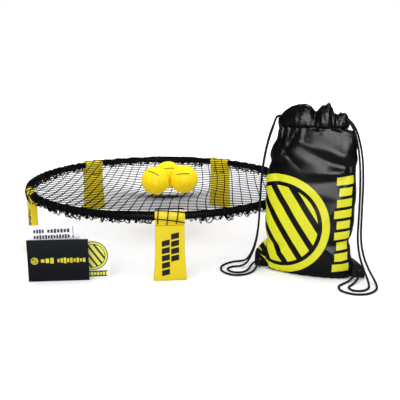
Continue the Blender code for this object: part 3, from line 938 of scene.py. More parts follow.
def catmull(points: Sequence[Point], spacing: float, lowest: float = -1.0) -> list[Vector]:
    """Evenly spaced points on a smooth curve through a route's own points.

    Args:
        points: The route.
        spacing: The distance between the points that come back.
        lowest: The least height that a point may have.

    Returns:
        The points.
    """
    route = [Vector(point) for point in points]
    padded = [2 * route[0] - route[1]] + route + [2 * route[-1] - route[-2]]
    fine: list[Vector] = []
    steps = 16
    for before, start, end, after in zip(padded, padded[1:], padded[2:], padded[3:]):
        for step in range(steps):
            t = step / steps
            fine.append(0.5 * (2 * start + (end - before) * t
                               + (2 * before - 5 * start + 4 * end - after) * t**2
                               + (3 * start - before - 3 * end + after) * t**3))
    fine.append(route[-1])
    lengths = [0.0]
    for first, second in zip(fine, fine[1:]):
        lengths.append(lengths[-1] + (second - first).length)
    count = max(2, round(lengths[-1] / spacing))
    even: list[Vector] = []
    place = 0
    for step in range(count + 1):
        target = lengths[-1] * step / count
        while place < len(fine) - 2 and lengths[place + 1] < target:
            place += 1
        span = lengths[place + 1] - lengths[place]
        point = fine[place].lerp(fine[place + 1], (target - lengths[place]) / span)
        point.z = max(point.z, lowest)
        even.append(point)
    return even


# ---- camera, light and floor --------------------------------------------------------------------


@dataclass
class Studio:
    """A white room: one camera, four soft lights and a plain floor."""

    camera_offset: Point = (-0.0938, -1.9795, 0.6178)
    heading: float = math.radians(-6.607)
    down: float = math.radians(14.09)
    roll: float = math.radians(0.23)
    lens: float = 51.94
    sensor: float = 36.0
    floor_half: float = 14.0
    fill: float = 0.60
    sheen_fill: float = 0.095
    lights: tuple[tuple[str, Point, Point, float, float, Reach], ...] = (
        ("overhead", (0.0, -0.3, 2.6), (0.0, 0.1, 0.0), 3.6, 78.0, Reach.MATT),
        ("front_left", (-1.9, -2.3, 1.6), (0.0, 0.0, 0.15), 3.0, 30.0, Reach.MATT),
        ("softbox", (0.02, -2.70, 1.20), (0.40, -0.40, 0.38), 1.0, 125.0, Reach.GLOSS),
        ("right", (2.3, -0.8, 1.3), (0.3, -0.4, 0.25), 2.0, 12.0, Reach.MATT),
    )

    def set_camera(self) -> None:
        """Places the camera in front of the ring, a little above it."""
        data = bpy.data.cameras.new("camera")
        data.lens = self.lens
        data.sensor_width = self.sensor
        data.clip_end = 100.0
        camera = bpy.data.objects.new("camera", data)
        bpy.context.scene.collection.objects.link(camera)
        x, y, z = self.camera_offset
        turn = (
            Matrix.Rotation(self.heading, 4, "Z")
            @ Matrix.Rotation(math.pi / 2 - self.down, 4, "X")
            @ Matrix.Rotation(self.roll, 4, "Z")
        )
        camera.matrix_world = Matrix.Translation((RING.x + x, RING.y + y, z)) @ turn
        bpy.context.scene.camera = camera

    def add_light(self, name: str, place: Point, aim: Point, size: float, watts: float, reach: Reach) -> None:
        """Adds one soft square light.

        Args:
            name: Its name.
            place: Where it hangs.
            aim: What it points at.
            size: The length of its side.
            watts: Its power.
            reach: Whether it lights surfaces or shows in their gloss.
        """
        data = bpy.data.lights.new(name, "AREA")
        data.size = size
        data.energy = watts
        light = bpy.data.objects.new(name, data)
        light.visible_camera = False
        light.visible_glossy = reach is not Reach.MATT
        light.visible_diffuse = reach is not Reach.GLOSS
        bpy.context.scene.collection.objects.link(light)
        way = Vector(aim) - Vector(place)
        light.matrix_world = Matrix.Translation(place) @ way.to_track_quat("-Z", "Y").to_matrix().to_4x4()

    def light_room(self) -> None:
        """A bright even room that is dim in reflections, with the lights in it."""
        world = bpy.data.worlds.new("studio")
        world.use_nodes = True
        graph = Graph(world.node_tree)
        backdrop = world.node_tree.nodes["Background"]
        backdrop.inputs["Color"].default_value = (1.0, 1.0, 1.0, 1.0)
        seen, mirrored = graph.ray("Is Camera Ray"), graph.ray("Is Glossy Ray")
        level = seen * (1.0 - self.fill) - mirrored * (self.fill - self.sheen_fill) + self.fill
        graph.plug(level, backdrop.inputs["Strength"])
        bpy.context.scene.world = world
        bpy.context.scene.view_settings.view_transform = "Standard"
        for light in self.lights:
            self.add_light(*light)

    def lay_floor(self) -> None:
        """A plain pale floor."""
        bm = bmesh.new()
        bmesh.ops.create_grid(bm, x_segments=1, y_segments=1, size=self.floor_half)
        Maker.object_from("floor", Maker.mesh_from(bm, "floor", None), StageFloor().build())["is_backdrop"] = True


# ---- rim ----------------------------------------------------------------------------------------


@dataclass
class Rim:
    """Five curved tubes that meet inside the saddles, with pegs underneath for the net."""

    radius: float = 0.4445
    height: float = 0.187
    tube_radius: float = 0.0110
    bore: float = 0.0088
    end_gap: float = 0.004
    tubes: int = 5
    pegs: int = 6
    saddle_width: float = 0.081
    sides: int = 28
    steps: int = 40

    def at(self, angle: float, out: float, up: float) -> Vector:
        """A point near the tube's middle line; the angle starts at the front, anticlockwise from above."""
        reach = self.radius + out
        return RING.point(math.sin(angle) * reach, -math.cos(angle) * reach, self.height + up)

    def ring(self, angle: float, radius: float) -> list[Vector]:
        """One round section of the tube."""
        return [self.at(angle, out, up) for out, up in circle(radius, self.sides)]

    def tube_mesh(self, start: float, end: float, name: str) -> Mesh:
        """One hollow tube with softened ends."""
        soft = 0.0006
        angles = [start + (end - start) * i / self.steps for i in range(self.steps + 1)]
        edge = soft / self.radius
        rings = [self.ring(start, self.bore), self.ring(start, self.tube_radius - soft)]
        rings += [self.ring(start + edge, self.tube_radius)]
        rings += [self.ring(angle, self.tube_radius) for angle in angles[1:-1]]
        rings += [self.ring(end - edge, self.tube_radius), self.ring(end, self.tube_radius - soft)]
        rings += [self.ring(angle, self.bore) for angle in reversed(angles)]
        return Maker.mesh_from(Maker.loft(rings, caps=False), name, weld=1e-6)

    def peg_carrier(self, first: float, last: float) -> Mesh:
        """Points under a tube where its pegs hang."""
        angles = [first + (last - first) * (i + 0.5) / self.pegs for i in range(self.pegs)]
        return carrier("peg_points", [self.at(angle, 0, -self.tube_radius) for angle in angles], angles)

    def peg_shape(self) -> bpy.types.Object:
        """One peg: a stem with a rounded lip that points outward."""
        profile = (
            (-0.0030, 0.0025), (-0.0030, -0.0072), (-0.0014, -0.0088), (0.0040, -0.0088), (0.0052, -0.0078),
            (0.0052, -0.0062), (0.0044, -0.0056), (0.0010, -0.0052), (0.0010, 0.0025),
        )
        rings = []
        for x, inset in ((-0.0035, 0.0006), (-0.0029, 0.0), (0.0029, 0.0), (0.0035, 0.0006)):
            middle = Vector((0.0003, -0.004))
            ring = []
            for out, up in profile:
                way = (Vector((out, up)) - middle).normalized()
                ring.append((x, -(out - way.x * inset), up - way.y * inset))
            rings.append(ring)
        mesh = Maker.mesh_from(Maker.loft(rings), "peg", 35.0)
        return bpy.data.objects.new("peg", mesh)

    @staticmethod
    def peg_tree() -> GeometryTree:
        """Copies one peg to every point, turned to face outward."""
        tree = GeometryTree("rim_pegs")
        peg, = tree.inputs("Object", "Peg")
        graph = tree.graph
        shape = graph.node("GeometryNodeObjectInfo", {}, {"Object": peg}, "Geometry")
        pose = graph.rotation(0.0, 0.0, graph.heading())
        tree.close(graph.copies(tree.geometry(), shape, pose), smooth=False)
        return tree

    def build(self) -> None:
        """Makes each tube and its pegs as one piece."""
        material = MouldedPlastic(
            "rim_plastic", (0.0030, 0.0030, 0.0034, 1.0), (0.0018, 0.0018, 0.0021, 1.0), 0.42,
            scuffs=0.14, gloss=0.06,
        ).build()
        tree, peg = self.peg_tree(), self.peg_shape()
        half_gap = 0.5 * self.end_gap / self.radius
        clear = 1.35 * 0.5 * self.saddle_width / self.radius
        pitch = TURN / self.tubes
        for index in range(self.tubes):
            start, end = index * pitch + half_gap, (index + 1) * pitch - half_gap
            points = self.peg_carrier(start + clear, end - clear)
            pegs = tree.run(points, "rim_pegs", Peg=peg, Material=material)
            mesh = Maker.joined((self.tube_mesh(start, end, "rim_tube"), pegs), "rim", 40.0)
            add_piece(f"rim_{index + 1}", mesh, material, Body.RING, Slot.RIM, f"rim_tube_{index + 1}")


# ---- net ----------------------------------------------------------------------------------------


@dataclass
class Net:
    """A square net of thin knotted cord, stretched over the rim and hooked underneath."""

    rim: Rim
    balls: Sequence[Vector]
    ball_radius: float
    spacing: float = 0.0270
    stretch: float = 1.10
    slant: float = math.radians(-8.2)
    cord: float = 0.00145
    sag: float = 0.0380
    sag_power: float = 1.20
    dimple: float = 0.0145
    dimple_width: float = 0.150
    contact: float = math.radians(7.5)
    saddle_lift: float = 0.0030
    rise_width: float = 0.070
    reach: float = 0.4800
    saddle_reach: float = 0.4925
    split: float = 0.365
    sway: float = 0.014
    seed: float = 4.2

    def mapped(self, tree: GeometryTree) -> tuple[Wire, Wire, Wire]:
        """Works out where a point of the flat net lies when it is stretched over the rim.

        Args:
            tree: The tree that the nodes go in.

        Returns:
            The stretched position, the flat distance from the middle, and the reach of the net there.
        """
        graph = tree.graph
        flat = graph.node("GeometryNodeInputPosition", {}, {})
        warp = graph.node(
            "ShaderNodeTexNoise", {"noise_dimensions": "4D"},
            {"Vector": flat, "W": self.seed, "Scale": 3.4, "Detail": 0.0, "Roughness": 0.5}, 1,
        )
        east, north, _ = graph.split(warp)
        x0, y0, _ = graph.split(flat)
        x = x0 + (east - 0.5) * self.sway * 2
        y = y0 * self.stretch + (north - 0.5) * self.sway * 2
        rho = (x * x + y * y) ** 0.5
        turn = graph.math("ARCTAN2", x, y * -1.0)
        pitch = TURN / self.rim.tubes
        near = ((turn / pitch + 0.5).fract() - 0.5).absolute() * pitch
        half = 0.5 * self.rim.saddle_width / self.rim.radius
        saddle = near.ramp(half + 0.008, half - 0.002)
        rise = saddle * self.saddle_lift
        wrap = self.rim.tube_radius + self.cord + rise
        touch = self.rim.radius - wrap * math.sin(self.contact)
        edge_height = self.rim.height + wrap * math.cos(self.contact)
        share = (rho / touch).least(1.0) ** self.sag_power
        inside = edge_height - self.sag + share * self.sag
        inside = inside - rise * rho.ramp(self.rim.radius, self.rim.radius - self.rise_width)
        middle = sum(self.balls, Vector()) / len(self.balls)
        mx, my = x - (middle.x - RING.x), y - (middle.y - RING.y)
        inside = inside - graph.math("EXPONENT", (mx * mx + my * my) / -self.dimple_width**2) * self.dimple
        for ball in self.balls:
            dx, dy = x - (ball.x - RING.x), y - (ball.y - RING.y)
            gap = self.ball_radius + self.cord
            depth = (gap * gap - (dx * dx + dy * dy)).most(0.0)
            under = ball.z - depth ** 0.5
            inside = inside.least(under + (depth < 0.000001) * 1.0)
        past = (rho - touch).most(0.0)
        theta = past / wrap - self.contact
        quarter = theta.least(math.pi / 2)
        fall = (past - wrap * (math.pi / 2 + self.contact)).most(0.0)
        round_r = self.rim.radius + wrap * theta.sine()
        round_z = self.rim.height + wrap * theta.cosine()
        side_r = self.rim.radius + wrap * quarter.sine() - fall * 0.17
        side_z = self.rim.height + wrap * quarter.cosine() - fall
        over_r = round_r + (side_r - round_r) * saddle
        over_z = round_z + (side_z - round_z) * saddle
        beyond = rho > touch
        r = rho + (over_r - rho) * beyond
        z = inside + (over_z - inside) * beyond
        stretched = graph.vector(turn.sine() * r + RING.x, RING.y - turn.cosine() * r, z)
        limit = self.reach + (self.saddle_reach - self.reach) * saddle
        return stretched, rho, limit

    def tree(self) -> GeometryTree:
        """The net's tree: a flat grid of cords is cut to a zone, bent over the rim and given knots."""
        tree = GeometryTree("stretched_net")
        graph = tree.graph
        spacing, slant, cord, nearest, furthest, knot = tree.inputs(
            "Float", "Spacing", "Slant", "Cord Radius", "Nearest", "Furthest", "Knot"
        )
        cells, level, sides = tree.inputs("Int", "Cells", "Level", "Sides")
        size, points = spacing * cells, cells + 1
        grid = graph.node(
            "GeometryNodeMeshGrid", {}, {"Size X": size, "Size Y": size, "Vertices X": points, "Vertices Y": points}
        )
        turned = {"Geometry": grid, "Rotation": graph.vector(0.0, 0.0, slant)}
        lines = graph.without("FACE", "ONLY_FACE", graph.node("GeometryNodeTransform", {}, turned))
        place, rho, limit = self.mapped(tree)
        away = graph.length(graph.node("GeometryNodeInputPosition", {}, {}))
        outside = (away < nearest) + (away > furthest)
        zone = graph.without("EDGE", "EDGE_FACE", lines, outside)
        fine = graph.node("GeometryNodeSubdivideMesh", {}, {"Mesh": zone, "Level": level})
        kept = graph.without("POINT", "ALL", fine, rho > limit)
        bent = graph.node("GeometryNodeSetPosition", {}, {"Geometry": kept, "Position": place})
        cords = graph.cord(graph.node("GeometryNodeMeshToCurve", {}, {"Mesh": bent}), cord, sides)
        crossings = graph.without("POINT", "ALL", lines, outside + (rho > limit))
        spots = graph.node("GeometryNodeSetPosition", {}, {"Geometry": crossings, "Position": place})
        bead = graph.node("GeometryNodeMeshIcoSphere", {}, {"Radius": cord * knot, "Subdivisions": 1})
        whole_turns = (6.283, 6.283, 6.283)
        pose = graph.node("FunctionNodeEulerToRotation", {}, {0: graph.random((0.0, 0.0, 0.0), whole_turns, 7)})
        knots = graph.copies(spots, bead, pose, (1.0, 1.0, 0.85))
        both = graph.tree.nodes.new("GeometryNodeJoinGeometry")
        for part in (cords, knots):
            graph.plug(part, both.inputs[0])
        tree.close(Wire(graph, both.outputs[0]))
        return tree

    @staticmethod
    def fringe_tree() -> GeometryTree:
        """Slack loops of the net's edge: one drooping loop is copied to every point under the rim."""
        tree = GeometryTree("net_fringe")
        graph = tree.graph
        cord, width, drop = tree.inputs("Float", "Cord Radius", "Width", "Drop")
        seed, = tree.inputs("Int", "Seed")
        ends = {
            "Resolution": 9, "Start": graph.vector(width * -0.5, 0.0, 0.0),
            "Start Handle": graph.vector(width * -0.42, width * 0.16, drop * -1.1),
            "End Handle": graph.vector(width * 0.18, width * -0.22, drop * -1.6),
            "End": graph.vector(width * 0.5, 0.0, 0.0),
        }
        strand = graph.cord(graph.node("GeometryNodeCurvePrimitiveBezierSegment", {}, ends), cord, 5)
        lx, ly, lz = graph.split(graph.random((-0.75, -0.60, -1.3), (0.60, 0.60, 1.3), seed))
        size = graph.random((0.40, 0.7, 0.20), (1.45, 1.1, 1.10), seed + 11)
        pose = graph.rotation(lx, ly, lz + graph.heading())
        tree.close(graph.copies(tree.geometry(), strand, pose, size))
        return tree

    def fringe_carrier(self, count: int, seed: int) -> Mesh:
        """Points just under the rim, between the saddles, with a number for each tube and a seed."""
        rng = random.Random(seed)
        pitch = TURN / self.rim.tubes
        clear = 0.5 * self.rim.saddle_width / self.rim.radius + 0.03
        points, turns = [], []
        for index in range(self.rim.tubes):
            for i in range(count):
                angle = index * pitch + clear + (pitch - 2 * clear) * (i + rng.random()) / count
                points.append(self.rim.at(angle, rng.uniform(-0.011, 0.006), -rng.uniform(0.006, 0.0115)))
                turns.append(angle)
        return carrier("fringe_points", points, turns)

    def build(self) -> None:
        """Makes the inner field, the band that goes over the rim, and the slack loops under it."""
        material = KnottedCord().build()
        tree = self.tree()
        common = {
            "Spacing": self.spacing, "Cells": 2 * math.ceil(self.saddle_reach * 1.04 / self.spacing),
            "Slant": self.slant, "Cord_Radius": self.cord, "Knot": 1.75, "Material": material, "Sides": 6,
        }
        zones = (("net_field", -1.0, self.split, 1, ("net",)), ("net_band", self.split, 1.0, 3, ()))
        for name, nearest, furthest, level, replaced in zones:
            seed = bpy.data.meshes.new("net_seed")
            mesh = tree.run(seed, name, **common, Nearest=nearest, Furthest=furthest, Level=level)
            add_piece(name, mesh, material, Body.RING, Slot.NET, *replaced)
        mesh = self.fringe_tree().run(
            self.fringe_carrier(96, 5), "net_fringe", Cord_Radius=self.cord, Width=0.019, Drop=0.016,
            Seed=3, Material=material,
        )
        add_piece("net_fringe", mesh, material, Body.RING, Slot.NET)


# ---- saddles and legs ---------------------------------------------------------------------------


@dataclass
class Legs:
    """Yellow saddles that clamp the rim, each with a folding leg on a steel pin."""

    rim: Rim
    crown: float = 0.0140
    bore: float = 0.0119
    underside: float = 0.1618
    thickness: float = 0.020
    top_half: float = 0.0405
    flare: float = 0.0065
    flare_power: float = 2.2
    pin_height: float = 0.1515
    pin_radius: float = 0.0025
    lug_half: float = 0.025
    lug_thick: float = 0.0055
    corner: float = 0.0028
    round_steps: int = 5

    def saddle_profile(self, inset: float) -> list[Pair]:
        """The sleeve's outline as (out, up) from the tube's middle line, with soft lower corners."""
        radius = self.crown - inset
        half = self.thickness / 2 - inset
        low = self.underside - self.rim.height + inset
        points = [
            (radius * math.cos(math.pi * i / 20), radius * math.sin(math.pi * i / 20)) for i in range(21)
        ]
        points += [(-radius, -0.0030), (-radius + 0.0004, -0.0060), (-half - 0.0015, -0.0115)]
        points += [(-half, -0.0150), (-half, low + 0.0020), (-half + 0.0006, low + 0.0006), (-half + 0.002, low)]
        points += [(half - 0.002, low), (half - 0.0006, low + 0.0006), (half, low + 0.0020), (half, -0.0150)]
        points += [(half + 0.0015, -0.0115), (radius - 0.0004, -0.0060), (radius, -0.0030)]
        return points

    def saddle_mesh(self, heading: float) -> Mesh:
        """A sleeve with a round bore, softened rims and a lug for the pin."""
        half = 0.5 * self.rim.saddle_width / self.rim.radius
        outer = self.saddle_profile(0.0)
        turns = [math.atan2(up, out) for out, up in outer]
        bore = [(self.bore * math.cos(turn), self.bore * math.sin(turn)) for turn in turns]

        def ring(angle: float, profile: Sequence[Pair]) -> list[Vector]:
            """A profile carried round to one angle."""
            return [self.rim.at(heading + angle, out, up) for out, up in profile]

        soft, steps = 0.0011, 12
        stations = [(share * soft / self.rim.radius, self.saddle_profile(inset))
                    for share, inset in ((0.0, soft), (0.3, 0.45 * soft), (1.0, 0.0))]
        rings = [ring(-half, bore)]
        rings += [ring(-half + shift, profile) for shift, profile in stations]
        rings += [ring(-half + 2 * half * i / steps, outer) for i in range(1, steps)]
        rings += [ring(half - shift, profile) for shift, profile in reversed(stations)]
        rings += [ring(half - 2 * half * i / steps, bore) for i in range(steps + 1)]
        bm = Maker.loft(rings, caps=False)
        bmesh.ops.remove_doubles(bm, verts=bm.verts, dist=1e-7)
        place = RING.matrix(heading)
        lug_rings = []
        for x, inset in ((-1.0, 0.0006), (-0.97, 0.0), (0.97, 0.0), (1.0, 0.0006)):
            thick = self.lug_thick - inset
            arc = [math.pi + math.pi * i / 16 for i in range(17)]
            outline = [(thick * math.cos(turn), self.pin_height + thick * math.sin(turn)) for turn in arc]
            outline += [(side * thick, self.underside + 0.0015) for side in (1, -1)]
            lug_rings.append([place @ Vector((x * self.lug_half, y - self.rim.radius, z)) for y, z in outline])
        lug = Maker.mesh_from(Maker.loft(lug_rings), "lug", None)
        bm.from_mesh(lug)
        return Maker.mesh_from(bm, "saddle", 38.0)

    def half_width(self, drop: float) -> float:
        """Half width of the leg at a distance below the pin."""
        share = max(0.0, drop) / self.pin_height
        return self.top_half + self.flare * share**self.flare_power

    def leg_ring(self, z: float, inset: float) -> list[Point]:
        """One rounded section of the leg at a height above the pin, x across and -y out."""
        radius = self.thickness / 2
        half = self.half_width(-z) - inset
        outer = inner = radius - inset
        if z > 0:
            inner = max(0.0012, math.sqrt(max(0.0, radius**2 - z**2)) - inset)
        corners = ((half, -outer, 0), (half, inner, 1), (-half, inner, 2), (-half, -outer, 3))
        points: list[Point] = []
        for x, y, quarter in corners:
            room = min(self.corner, 0.45 * (outer + inner))
            cx = x - math.copysign(room, x)
            cy = y + (room if y < 0 or quarter in (0, 3) else -room)
            for step in range(self.round_steps):
                turn = math.pi / 2 * (quarter - 1 + step / (self.round_steps - 1))
                points.append((cx + room * math.cos(turn), cy + room * math.sin(turn), z))
        return points

    def leg_mesh(self, heading: float) -> Mesh:
        """A flared leg with soft corners, a barrel top and a slot for the lug."""
        foot = -self.pin_height
        soft = 0.0016
        levels = [(foot, soft), (foot + 0.0005, 0.45 * soft), (foot + soft, 0.0)]
        levels += [(foot + soft + (self.pin_height - soft) * i / 24, 0.0) for i in range(1, 25)]
        radius = self.thickness / 2
        levels += [(radius * math.sin(math.radians(turn)), 0.0) for turn in (12, 24, 36, 48, 60, 70, 78, 83)]
        bm = Maker.loft([self.leg_ring(z, inset) for z, inset in levels])
        shell = Maker.object_from("leg", Maker.mesh_from(bm, "leg", None))
        low = Vector((-self.lug_half - 0.001, -radius + 0.0034, -0.0075))
        high = Vector((self.lug_half + 0.001, 0.02, 0.02))
        block = Matrix.Translation((low + high) / 2) @ Matrix.Diagonal((*(high - low), 1.0))
        bm = bmesh.new()
        bmesh.ops.create_cube(bm, size=1.0, matrix=block)
        cutter = Maker.object_from("leg_slot", Maker.mesh_from(bm, "leg_slot", None))
        cut = shell.modifiers.new("slot", "BOOLEAN")
        cut.operation, cut.solver, cut.object = "DIFFERENCE", "EXACT", cutter
        mesh = Maker.evaluated(shell, "leg")
        bpy.data.objects.remove(cutter, do_unlink=True)
        self.map_outer_face(mesh)
        mesh.transform(RING.matrix(heading) @ Matrix.Translation((0, -self.rim.radius, self.pin_height)))
        return Maker.smooth(mesh, 34.0)

    def map_outer_face(self, mesh: Mesh) -> None:
        """Lays the print's map on the outer face, and far away from it on every other face."""
        points = Maker.corner_points(mesh)
        values = np.column_stack((points[:, 0], points[:, 2] + self.pin_height))
        away = np.ones(len(points), bool)
        for face in mesh.polygons:
            if face.normal.y < -0.7:
                away[face.loop_start:face.loop_start + face.loop_total] = False
        values[away] = FAR_OFF
        Maker.add_map(mesh, values)

    def pin_mesh(self, heading: float) -> Mesh:
        """A steel pin with domed ends."""
        half = self.top_half - 0.0004
        stations = ((-half, 0.45), (-half + 0.0006, 0.9), (-half + 0.0012, 1.0))
        stations += tuple((-x, share) for x, share in reversed(stations))
        rings = [
            [(x, y - self.rim.radius, self.pin_height + z) for y, z in circle(self.pin_radius * share, 20)]
            for x, share in stations
        ]
        mesh = Maker.mesh_from(Maker.loft(rings), "pin")
        mesh.transform(RING.matrix(heading))
        return mesh

    def build(self) -> None:
        """Makes the five saddles, legs and pins."""
        looks = ((0.72, 0.57, 0.012, 1.0), (0.67, 0.52, 0.010, 1.0), 0.42)
        plain = MouldedPlastic("leg_plastic", *looks).build()
        printed = PrintedLegPlastic(MouldedPlastic("leg_printed", *looks)).build()
        steel = Metal("pin_steel", (0.56, 0.56, 0.58, 1.0), 0.28).build()
        for index, name in enumerate(LEGS):
            turn = index * TURN / self.rim.tubes
            saddle, pin, leg = self.saddle_mesh(turn), self.pin_mesh(turn), self.leg_mesh(turn)
            add_piece(f"saddle_{name}", saddle, plain, Body.RING, Slot.LEG, f"leg_saddle_{name}")
            add_piece(f"pin_{name}", pin, steel, Body.RING, Slot.STEEL, f"hinge_pin_{name}")
            add_piece(f"leg_piece_{name}", leg, printed, f"leg_{name}", Slot.LEG, f"leg_plate_{name}")


# ---- balls --------------------------------------------------------------------------------------


@dataclass(frozen=True)
class BallAim:
    """How one ball lies: where its dark bar faces, and its valve, all in degrees."""

    heading: float
    lift: float
    tilt: float
    valve_tilt: float
    valve_heading: float

    def valve(self) -> Matrix:
        """The turn from straight up to the valve."""
        heading, tilt = math.radians(self.valve_heading), math.radians(self.valve_tilt)
        return Matrix.Rotation(heading, 4, "Z") @ Matrix.Rotation(tilt, 4, "Y")


@dataclass
class Balls:
    """Three inflatable rubber balls with a sunk valve."""

    radius: float = 0.0485
    detail: int = 6
    valve_radius: float = 0.0026
    dimple: float = 0.018
    dimple_width: float = 0.0036
    aims: tuple[BallAim, ...] = (
        BallAim(-17.0, 46.0, 22.0, 35.0, 150.0),
        BallAim(-10.0, 33.0, -5.0, 40.0, 35.0),
        BallAim(3.0, 40.0, -4.0, 30.0, 80.0),
    )

    def centres(self) -> list[Vector]:
        """The middles of the three balls, from their CAD nodes."""
        nodes = [f"ball_{index + 1}" for index in range(len(self.aims))]
        return [Vector((*middle_of(node).xy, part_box(node)[1].z - self.radius)) for node in nodes]

    def ball_mesh(self, centre: Vector, aim: BallAim) -> Mesh:
        """A fine sphere with a dimple round the valve, and its own directions stored on it."""
        bm = bmesh.new()
        bmesh.ops.create_icosphere(bm, subdivisions=self.detail, radius=self.radius)
        valve = aim.valve() @ Vector((0, 0, 1))
        for vert in bm.verts:
            gap = (vert.co.normalized() - valve).length * self.radius
            vert.co *= 1 - self.dimple * math.exp(-((gap / self.dimple_width) ** 2))
        mesh = Maker.smooth(Maker.mesh_from(bm, "ball", None))
        points = np.empty(len(mesh.vertices) * 3)
        mesh.vertices.foreach_get("co", points)
        points = points.reshape(-1, 3) / self.radius
        heading, lift, tilt = (math.radians(value) for value in (aim.heading, aim.lift, aim.tilt))
        turn = Matrix.Rotation(heading, 3, "Z") @ Matrix.Rotation(-lift, 3, "X") @ Matrix.Rotation(tilt, 3, "Y")
        own = points @ np.array(turn)
        mesh.attributes.new("ball_way", "FLOAT_VECTOR", "POINT").data.foreach_set("vector", own.ravel())
        mesh.transform(Matrix.Translation(centre))
        return mesh

    def valve_mesh(self, centre: Vector, aim: BallAim) -> Mesh:
        """A rubber plug with a needle hole; its profile is (share of its radius, height)."""
        surface = self.radius * (1 - self.dimple)
        profile = ((1.0, -0.0060), (1.0, -0.0002), (0.85, 0.0005), (0.45, 0.0004), (0.30, -0.0004))
        profile += ((0.0002 / self.valve_radius, -0.0030),)
        rings = [[(x, y, surface + up) for x, y in circle(self.valve_radius * share, 24)] for share, up in profile]
        mesh = Maker.mesh_from(Maker.loft(rings), "valve")
        mesh.transform(Matrix.Translation(centre) @ aim.valve())
        return mesh

    def build(self) -> None:
        """Makes the balls and their valves."""
        rubber = BallRubber().build()
        plug = MouldedPlastic("valve_black", (0.02, 0.02, 0.02, 1.0), (0.015, 0.015, 0.015, 1.0), 0.7).build()
        for index, (centre, aim) in enumerate(zip(self.centres(), self.aims), 1):
            name = f"ball_{index}"
            add_piece(f"rubber_{name}", self.ball_mesh(centre, aim), rubber, name, Slot.BALL, name)
            add_piece(f"valve_{index}", self.valve_mesh(centre, aim), plug, name, Slot.VALVE, f"ball_valve_{index}")


# ---- bag ----------------------------------------------------------------------------------------


def spline_at(table: Sequence[Sequence[float]], key: float) -> list[float]:
    """Values at a key, on a smooth curve through a table whose first column is the key.

    Args:
        table: Rows sorted by their first number.
        key: Where to read.

    Returns:
        The other columns there.
    """
    rows = [list(row) for row in table]
    if key <= rows[0][0]:
        return rows[0][1:]
    if key >= rows[-1][0]:
        return rows[-1][1:]
    index = max(i for i, row in enumerate(rows) if row[0] <= key)
    a, b = rows[index], rows[index + 1]
    before = rows[max(0, index - 1)]
    after = rows[min(len(rows) - 1, index + 2)]
    span = b[0] - a[0]
    t = (key - a[0]) / span
    found = []
    for column in range(1, len(a)):
        m0 = (b[column] - before[column]) / max(1e-9, b[0] - before[0]) * span
        m1 = (after[column] - a[column]) / max(1e-9, after[0] - a[0]) * span
        found.append(
            (2 * t**3 - 3 * t**2 + 1) * a[column] + (t**3 - 2 * t**2 + t) * m0
            + (-2 * t**3 + 3 * t**2) * b[column] + (t**3 - t**2) * m1
        )
    return found


@dataclass
class Stitching:
    """Rows of separate thread stitches in the bag's frame."""

    pitch: float = 0.0034
    length: float = 0.0026
    thread: float = 0.00035

    @staticmethod
    def tree() -> GeometryTree:
        """Copies one thread stitch along a curve of loose edges."""
        tree = GeometryTree("stitches")
        graph = tree.graph
        pitch, length, thread = tree.inputs("Float", "Pitch", "Length", "Thread")
        line = graph.node("GeometryNodeMeshToCurve", {}, {"Mesh": tree.geometry()})
        spots = graph.node("GeometryNodeCurveToPoints", {"mode": "LENGTH"}, {"Curve": line, "Length": pitch}, "Points")
        bead = graph.node("GeometryNodeMeshUVSphere", {}, {"Segments": 6, "Rings": 4, "Radius": 1.0})
        size = {"Geometry": bead, "Scale": graph.vector(thread, thread, length * 0.5)}
        stitch = graph.node("GeometryNodeTransform", {}, size)
        along = Wire(graph, spots.value.node.outputs["Rotation"])
        tree.close(graph.copies(spots, stitch, along))
        return tree

    def sew(self, lines: Sequence[Sequence[Point]], name: str, thread: Material) -> Mesh:
        """Sews along lines.

        Args:
            lines: The routes, in the bag's frame.
            name: The name of the result.
            thread: The thread's finish.

        Returns:
            The stitches, in the row frame.
        """
        points: list[Point] = []
        edges: list[tuple[int, int]] = []
        for line in lines:
            start = len(points)
            points += [tuple(point) for point in line]
            edges += [(start + i, start + i + 1) for i in range(len(line) - 1)]
        mesh = bpy.data.meshes.new("stitch_lines")
        mesh.from_pydata(points, edges, [])
        mesh.transform(BAG.matrix())
        return self.tree().run(
            mesh, name, Pitch=self.pitch, Length=self.length, Thread=self.thread, Material=thread
        )


